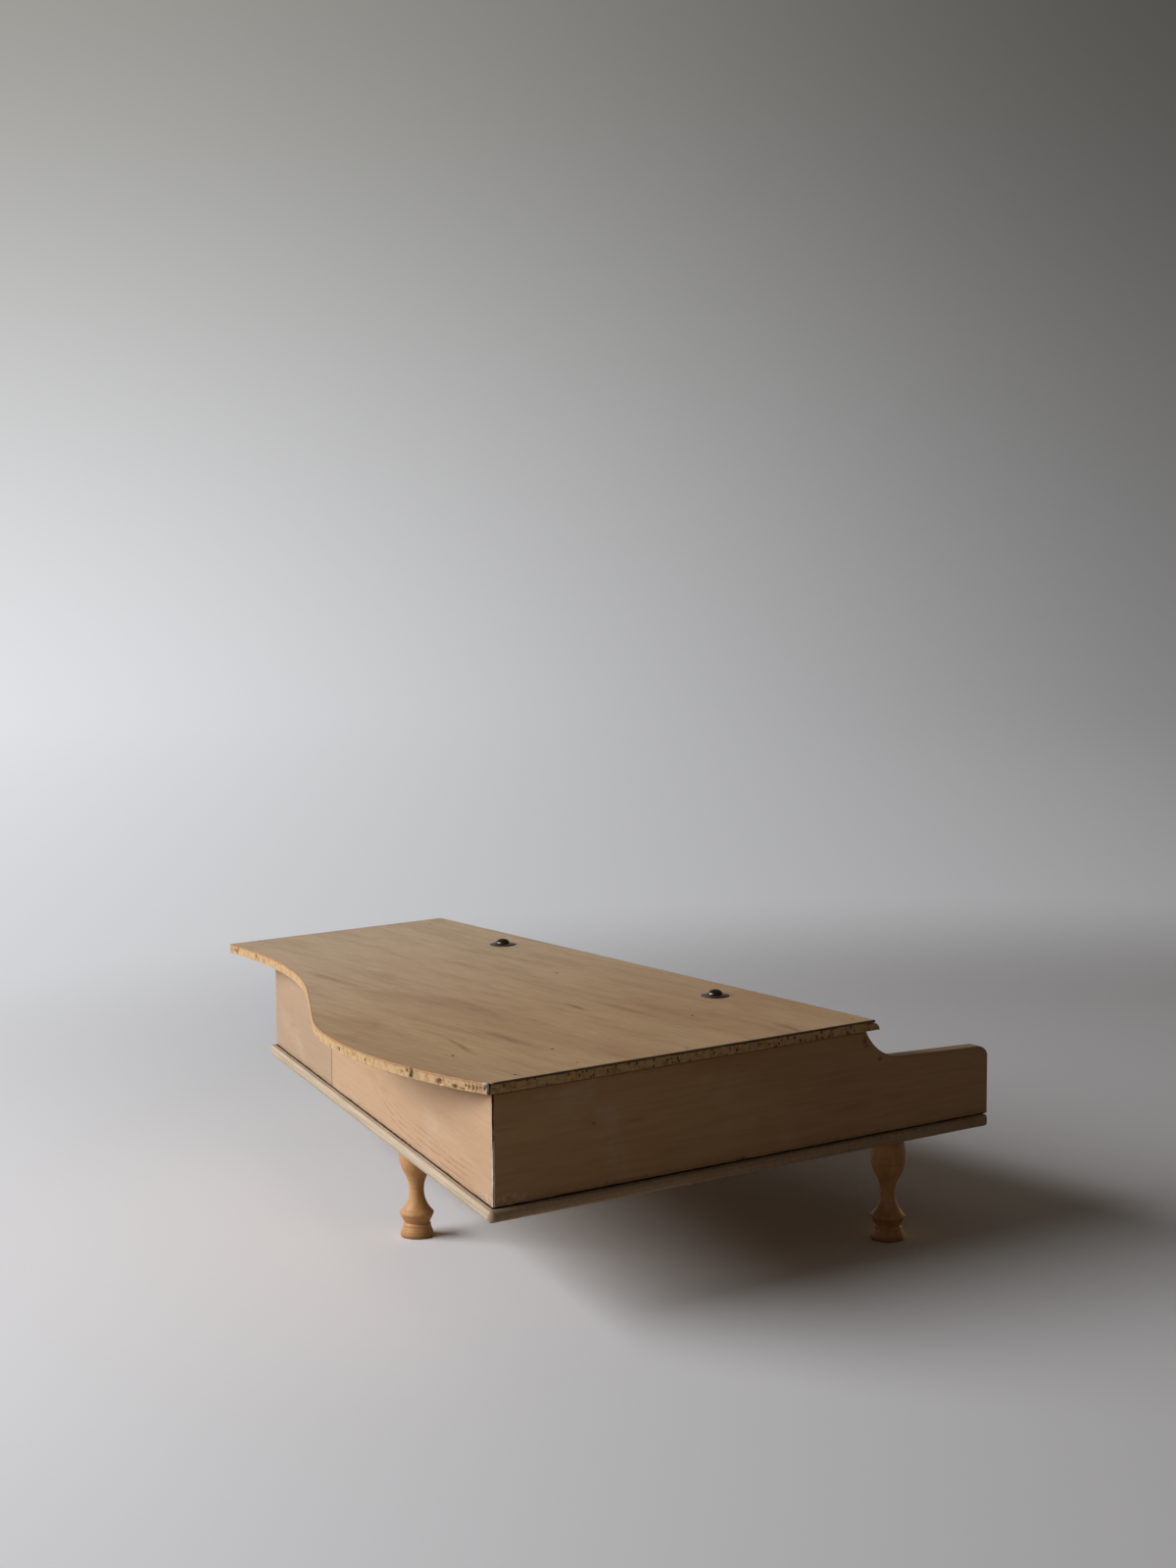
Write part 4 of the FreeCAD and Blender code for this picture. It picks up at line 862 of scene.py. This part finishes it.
def makeCase():
    wall, width, inside = plan.wall, plan.width, plan.width - plan.wall
    makeSideWall("bassWall", "bass_wall", 0, plan.bassLength, rearFace(wall, wall), True, caseWood["bassBoard"])
    makeSideWall("trebleWall", "treble_wall", inside, plan.trebleLength, rearFace(inside, wall), False,
                 caseWood["trebleBoard"])
    bassLine = [(0, rearFace(0)), (wall, rearFace(wall, wall))]
    seamLine = [across(seamPlace, 0), across(seamPlace, wall)]
    trebleLine = [(width, rearFace(width)), (inside, rearFace(inside, wall))]
    makeRearBoard("longRearBoard", "rear_wall_long", bassLine, seamLine, caseWood["longBoard"])
    makeRearBoard("shortRearBoard", "rear_wall_short", seamLine, trebleLine, caseWood["shortBoard"])


# Base board: plan corners turn on a quarter circle, (a, b) -> (a sqrt(1 - b b / 2), b sqrt(1 - a a / 2))
def makeBase():
    r, corner = base.round, base.corner
    left, right = -base.over, plan.width + base.over
    deep = rearFace(left, -base.over) - base.front

    def form(x, y, z, box):
        a = np.clip(np.maximum(left + corner - x, x - right + corner) / corner, 0, 1)
        b = np.clip(np.maximum(corner - y, y - deep + corner) / corner, 0, 1)
        signX, signY = np.sign(x - (left + right) / 2), np.sign(y - deep / 2)
        x = x + signX * corner * (a * np.sqrt(1 - b * b / 2) - a)
        y = y + signY * corner * (b * np.sqrt(1 - a * a / 2) - b)
        y = base.front + y * (rearFace(x, -base.over) - base.front) / deep
        dent = 0.25 * (latticeNoise(x * 0.12 + 40, y * 0.12 + 40, 21) - 0.5)
        dent = dent * np.clip(1 - np.abs(z / base.thick - 0.5) * 2, 0, 1)
        return x, y + dent, z - base.thick

    turn = corner * (1 - np.cos(np.linspace(0.6, np.pi / 2, 6)))
    turn = np.array([r, *turn[turn > r]])  # stations lie close at the corners
    spans = [(low, high, [*(low + turn), *np.linspace(low + 6, high - 6, count), *(high - turn[::-1])])
             for low, high, count in ((left, right, 120), (0, deep, 100))]
    shell = boardShell((*spans, (0, base.thick, 3)), r, form)
    addPiece("baseBoard", shell, baseWood, "base_board")


# Turned leg: radius r(z) from straight cones and arcs, softened, with a fine lathe line left in it
leg = Settings(
    height=52.0, foot=(8.2, 1.4), groove=(6.2, 7.1), ring=(8.35, 12.2), neck=(3.6, 23.0), bulb=(8.45, 40.5), top=6.3,
    tenon=(4.0, 57.0), rows=210, steps=112, behind=18.0,
    beads=((0.34, 6.2, 0.45), (-0.30, 7.1, 0.35)),  # rise, height, half width
    places={"leg_front_bass": (14.6, 51.8), "leg_front_treble": (338.4, 51.8), "leg_rear": (158.6, None)})


def legProfile():
    (footR, footZ), (ringR, ringZ), (neckR, neckZ), (bulbR, bulbZ) = leg.foot, leg.ring, leg.neck, leg.bulb
    middle = ((neckR + bulbR) / 2, (neckZ + bulbZ) / 2)
    z = np.linspace(0, leg.height, leg.rows)

    def arc(start, finish):  # arc that leaves its start upright
        wide, tall = finish[0] - start[0], finish[1] - start[1]
        radius = (wide * wide + tall * tall) / (2 * abs(wide))
        return start[0] + np.sign(wide) * (radius - chord(radius, z - start[1]))

    foot = np.interp(z, [0, 0.5, footZ, leg.groove[1], ringZ - 0.8, ringZ],
                     [footR - 0.6, footR - 0.15, footR, leg.groove[0], ringR, ringR + 0.1])
    r = np.select([z < ringZ, z < neckZ, z < middle[1], z < bulbZ],
                  [foot, arc(leg.neck, leg.ring), arc(leg.neck, middle), arc(leg.bulb, middle)],
                  arc(leg.bulb, (leg.top, leg.height)))
    kernel = np.array([1, 2, 3, 4, 3, 2, 1]) / 16
    soft = np.convolve(np.pad(r, 3, "edge"), kernel, "valid")
    beads = sum(rise * np.exp(-((z - middle) / half) ** 2) for rise, middle, half in leg.beads)
    return z, soft + beads + 0.035 * np.sin(z * 7.3) * np.sin(z * 2.9 + 0.7)


def makeLegs():
    z, r = legProfile()
    height = np.array([0, 0, *z, leg.height, leg.tenon[1], leg.tenon[1]]) - leg.height - base.thick
    radius = [0, r[0] * 0.6, *r, leg.tenon[0], leg.tenon[0], 0]
    for seed, (node, (x, y)) in enumerate(leg.places.items()):
        phase = 1.3 * seed

        def wobble(up, angle):  # slightly out of round, as hand-turned
            return 0.05 * np.cos(2 * angle + phase) + 0.03 * np.sin(3 * angle + up * 0.1 + phase)

        place = (x, rearFace(x, leg.behind) if y is None else y, 0)
        shell = turnedShell(radius, height, place, leg.steps, wobble)
        addPiece(node.replace("leg_", "turnedLeg_"), shell, legWood, node, sharp=45)


# One turned shape at each spot of a row on the lid
def addTurnedRow(name, row, radius, height, metal, level=0.0, node=None):
    seat = plan.height + lid.thick + level
    shells = [turnedShell(radius, height, (*spot, seat), row.steps) for spot in row.spots]
    addPiece(name, joinShells(*shells)[:2], metals[metal], node, sharp=50)


# Lid bolts and cup washers, both turned: the head is half an ellipse, the cup a cone with a rounded hub
bolt = Settings(spots=[(93.1, 95.9), (276.1, 95.9)], dome=3.8, domeHigh=2.3, shank=2.0, below=21.9, washer=7.0,
                washerHigh=0.9, rim=0.5, hub=4.3, steps=72)


def makeBolts():
    turn = np.linspace(np.pi / 2, 0, 20)
    radius = [0, bolt.shank, bolt.shank, bolt.dome - 0.3, bolt.dome - 0.1, *(bolt.dome * np.sin(turn[:-1])), 0]
    height = [-bolt.below, -bolt.below, 0, 0, 0.1, *np.maximum(bolt.domeHigh * np.cos(turn), 0.25)]
    cone = np.linspace(0, 1, 14)
    bore = bolt.shank + 0.05
    cupR = [bore, bolt.washer - 0.2, bolt.washer, bolt.washer,
            *(bolt.washer - 0.25 + (bolt.hub - bolt.washer + 0.25) * cone), bore, bore]
    cupZ = [0, 0, 0.15, bolt.rim - 0.12, *(bolt.rim + (bolt.washerHigh - bolt.rim) * np.sin(cone * np.pi / 2) ** 1.2),
            bolt.washerHigh, 0]
    addTurnedRow("lidBolts", bolt, radius, height, "darkBronze", bolt.washerHigh, "lid_bolts")
    addTurnedRow("cupWashers", bolt, cupR, cupZ, "darkBronze", node="cup_washers")


# Nail heads sunk in the lid
nail = Settings(radius=0.80, dome=0.08, steps=14, spots=[
    (57, 276), (41, 232.5), (7.6, 276.5), (11, 240.5), (8, 81.5), (62, 135), (190, 122), (356, 90)])


def makeNails():
    out = np.array([0, 1.0, 1.0, 0.85, 0.55, 0]) * nail.radius
    up = np.array([-6.0, -6.0, 0.0, 0.4, 0.8, 1.0]) * nail.dome
    addTurnedRow("lidNails", nail, out, up, "rustyNail")


# Plain boards round the keys, each in the box of its node
boardSet = table(
    "node round steps",
    frontSlip=("key_slip", 0.8, (150, 4, 12)),
    fallBoard=("fallboard", 0.8, (150, 4, 14)),
    bassKeyBlock=("key_block_bass", 0.6, (4, 50, 20)),
    trebleKeyBlock=("key_block_treble", 0.6, (4, 50, 20)))


def makePlainBoards():
    for name, board in boardSet.items():
        low, high = [(np.array(corner) - zero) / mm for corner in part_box(board.node)]
        shell = boardShell(zip(low, high, board.steps), board.round)
        addPiece(name, shell, caseWood["frontBoard"], board.node)


# Keys: tails share the octave evenly by groups, naturals have a wide head in front
key = Settings(
    count=25, left=13.0, pitch=21.8, gap=0.8, front=12.0, head=22.0, bottom=10.6, thick=8.0, round=0.7, sharpGap=1.2,
    sharpNeck=4, sharpRise=8.0, sharpWidth=9.4, sharpSlope=3.0, sharpStep=2.0, sharpRound=1.2, capRear=77.8,
    fulcrum=66.0, wire=1.55, wireDrop=0.8, grooveHalf=1.33, guide=91.0, slotHalf=1.3, slotLong=2.5, tailShort=15.0,
    rows=(78, 80.5, 110, 140), stepEnds=(79.4, 81.4), hammer=131.0, hammerRadius=3.5, float=1.2, stop=7.25,
    rodHeight=40.5, rodRadius=1.25, springHalf=2.0, springThick=0.6, springReach=14.0, springSeat=9.0, springRound=0.2,
    sharps=(1, 3, 6, 8, 10))
keyTail = rearFace(plan.width - plan.wall, plan.wall) - key.tailShort
keySeat = key.bottom + key.thick


def tailSlot(index):  # left end and width: five tails over three pitches, then seven over four
    octave, step = divmod(index, 12)
    pitch = key.pitch
    left = pitch * 7 * octave
    if index == key.count - 1:
        return left, pitch
    if step < 5:
        return left + pitch * 3 / 5 * step, pitch * 3 / 5
    return left + pitch * (3 + 4 / 7 * (step - 5)), pitch * 4 / 7


# Lever: a board with a wider head before its neck, a groove over the fulcrum wire, a slot for the guide pin and, where
# a cap stands on it, a lower top
def leverShell(left, right, front, headLeft, headRight, neck, low):
    r = key.round
    middle = (left + right) / 2
    slot = (middle - key.slotHalf, middle + key.slotHalf, key.guide - key.slotLong, key.guide + key.slotLong)
    groove = key.fulcrum + key.grooveHalf * np.sin(np.linspace(-np.pi / 2, np.pi / 2, 9))
    ys = np.unique([*np.linspace(front + r, neck - 0.7, 9), neck - 0.01, neck + 0.01, neck + 0.8,
                    *np.linspace(neck + 6, key.fulcrum - 4, 6), *groove, *key.rows, *slot[2:], keyTail - r])

    def form(x, y, z, box):
        share = (x - left) / (right - left)
        wideLeft, wideRight = np.where(y < neck, headLeft, left), np.where(y < neck, headRight, right)
        up = (z - key.bottom) / key.thick
        cut = np.maximum(chord(key.wire, y - key.fulcrum) - key.wireDrop, 0)
        drop = low * np.interp(y, key.stepEnds, [1, 0])
        return wideLeft + share * (wideRight - wideLeft), y, z + cut * (1 - up) - drop * up

    spans = ((left, right, [left + r, *slot[:2], right - r]), (front, keyTail, ys), (key.bottom, keySeat, 4))
    return boardShell(spans, r, form, slot)


def sharpCap(left, right, front):  # its front leans back by the slope, and its sides draw in by a tenth
    margin = (right - left - key.sharpWidth) / 2
    low, top = keySeat - key.sharpStep - 0.3, keySeat + key.sharpRise
    middle = (left + right) / 2

    def form(x, y, z, box):
        up = np.clip((z - low) / (top - low), 0, 1)
        lean = key.sharpSlope * up * (1 - (y - front) / (key.capRear - front))
        return middle + (x - middle) * (1 - 0.10 * up), y + lean, z

    spans = ((left + margin, right - margin, 4), (front, key.capRear, 14), (low, top, 5))
    return boardShell(spans, key.sharpRound, form)


# Hammer: a turned head, and a leaf spring that rises from its seat to the head by s s (3 - 2 s)
def hammerShells(x):
    top = key.rodHeight - key.rodRadius - key.stop - keySeat
    r, low = key.hammerRadius, key.float
    radius = [0, r - 0.3, r, r, r - 0.5, r - 1.4, 0]
    height = [low, low, low + 0.3, top - 1.5, top - 0.9, top, top]

    def form(aside, y, z, box):
        share = np.clip(1 - y / key.springReach, 0, 1)
        lift = (top + low) / 2 * share * share * (3 - 2 * share)
        return aside + x, y + key.hammer, z + lift + keySeat

    spans = ((-key.springHalf, key.springHalf, 2), (0, key.springReach + key.springSeat, 24), (0, key.springThick, 2))
    spring = boardShell(spans, key.springRound, form)
    return turnedShell(radius, height, (x, key.hammer, keySeat), 28), spring


def makeKeys():
    half = key.gap / 2
    naturals = sharps = 0
    for index in range(key.count):
        left, width = tailSlot(index)
        tail = (key.left + left + half, key.left + left + width - half)
        if index % 12 in key.sharps:
            sharps += 1
            node, slot, paint = f"key_black_{sharps:02d}", "black_key", keyPaint["blackKey"]
            front = key.front + key.head + key.sharpGap
            lever = leverShell(*tail, front, *tail, front + key.sharpNeck, key.sharpStep)
            shell = joinShells(lever, sharpCap(*tail, front))
        else:
            head = key.left + key.pitch * naturals + half
            naturals += 1
            node, slot, paint = f"key_white_{naturals:02d}", "white_key", keyPaint["whiteKey"]
            shell = leverShell(*tail, key.front, head, head + key.pitch - key.gap, key.front + key.head, 0.0)
        label = node.replace("key_", "").replace("_", "")
        hammer, spring = hammerShells(sum(tail) / 2)
        addPiece(f"{label}Lever", shell, paint, node, node)
        addPiece(f"{label}Hammer", hammer, railWood, body=node)
        addPiece(f"{label}Spring", spring, metals["drawnSteel"], body=node)


makeLid()
makeCase()
makeBase()
print("lid, case and base made")
makeLegs()
makeBolts()
makeNails()
print("legs, bolts and nails made")
makePlainBoards()
makeKeys()
print("key boards and keys made")

# Pieces inside the case keep their CAD shape and take a finish
insideFinish = ((railWood, "seam_cleat front_rail balance_rail guide_rail back_rail"),
                (keyFelt, "front_felt back_felt"),
                (metals["drawnSteel"], "fulcrum_wire guide_pins tone_rods"), (metals["castIron"], "tone_block"))
for material, nodes in insideFinish:
    for node in nodes.split():
        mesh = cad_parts[node].data
        mesh.materials.clear()
        mesh.materials.append(material)
print("inner pieces finished")
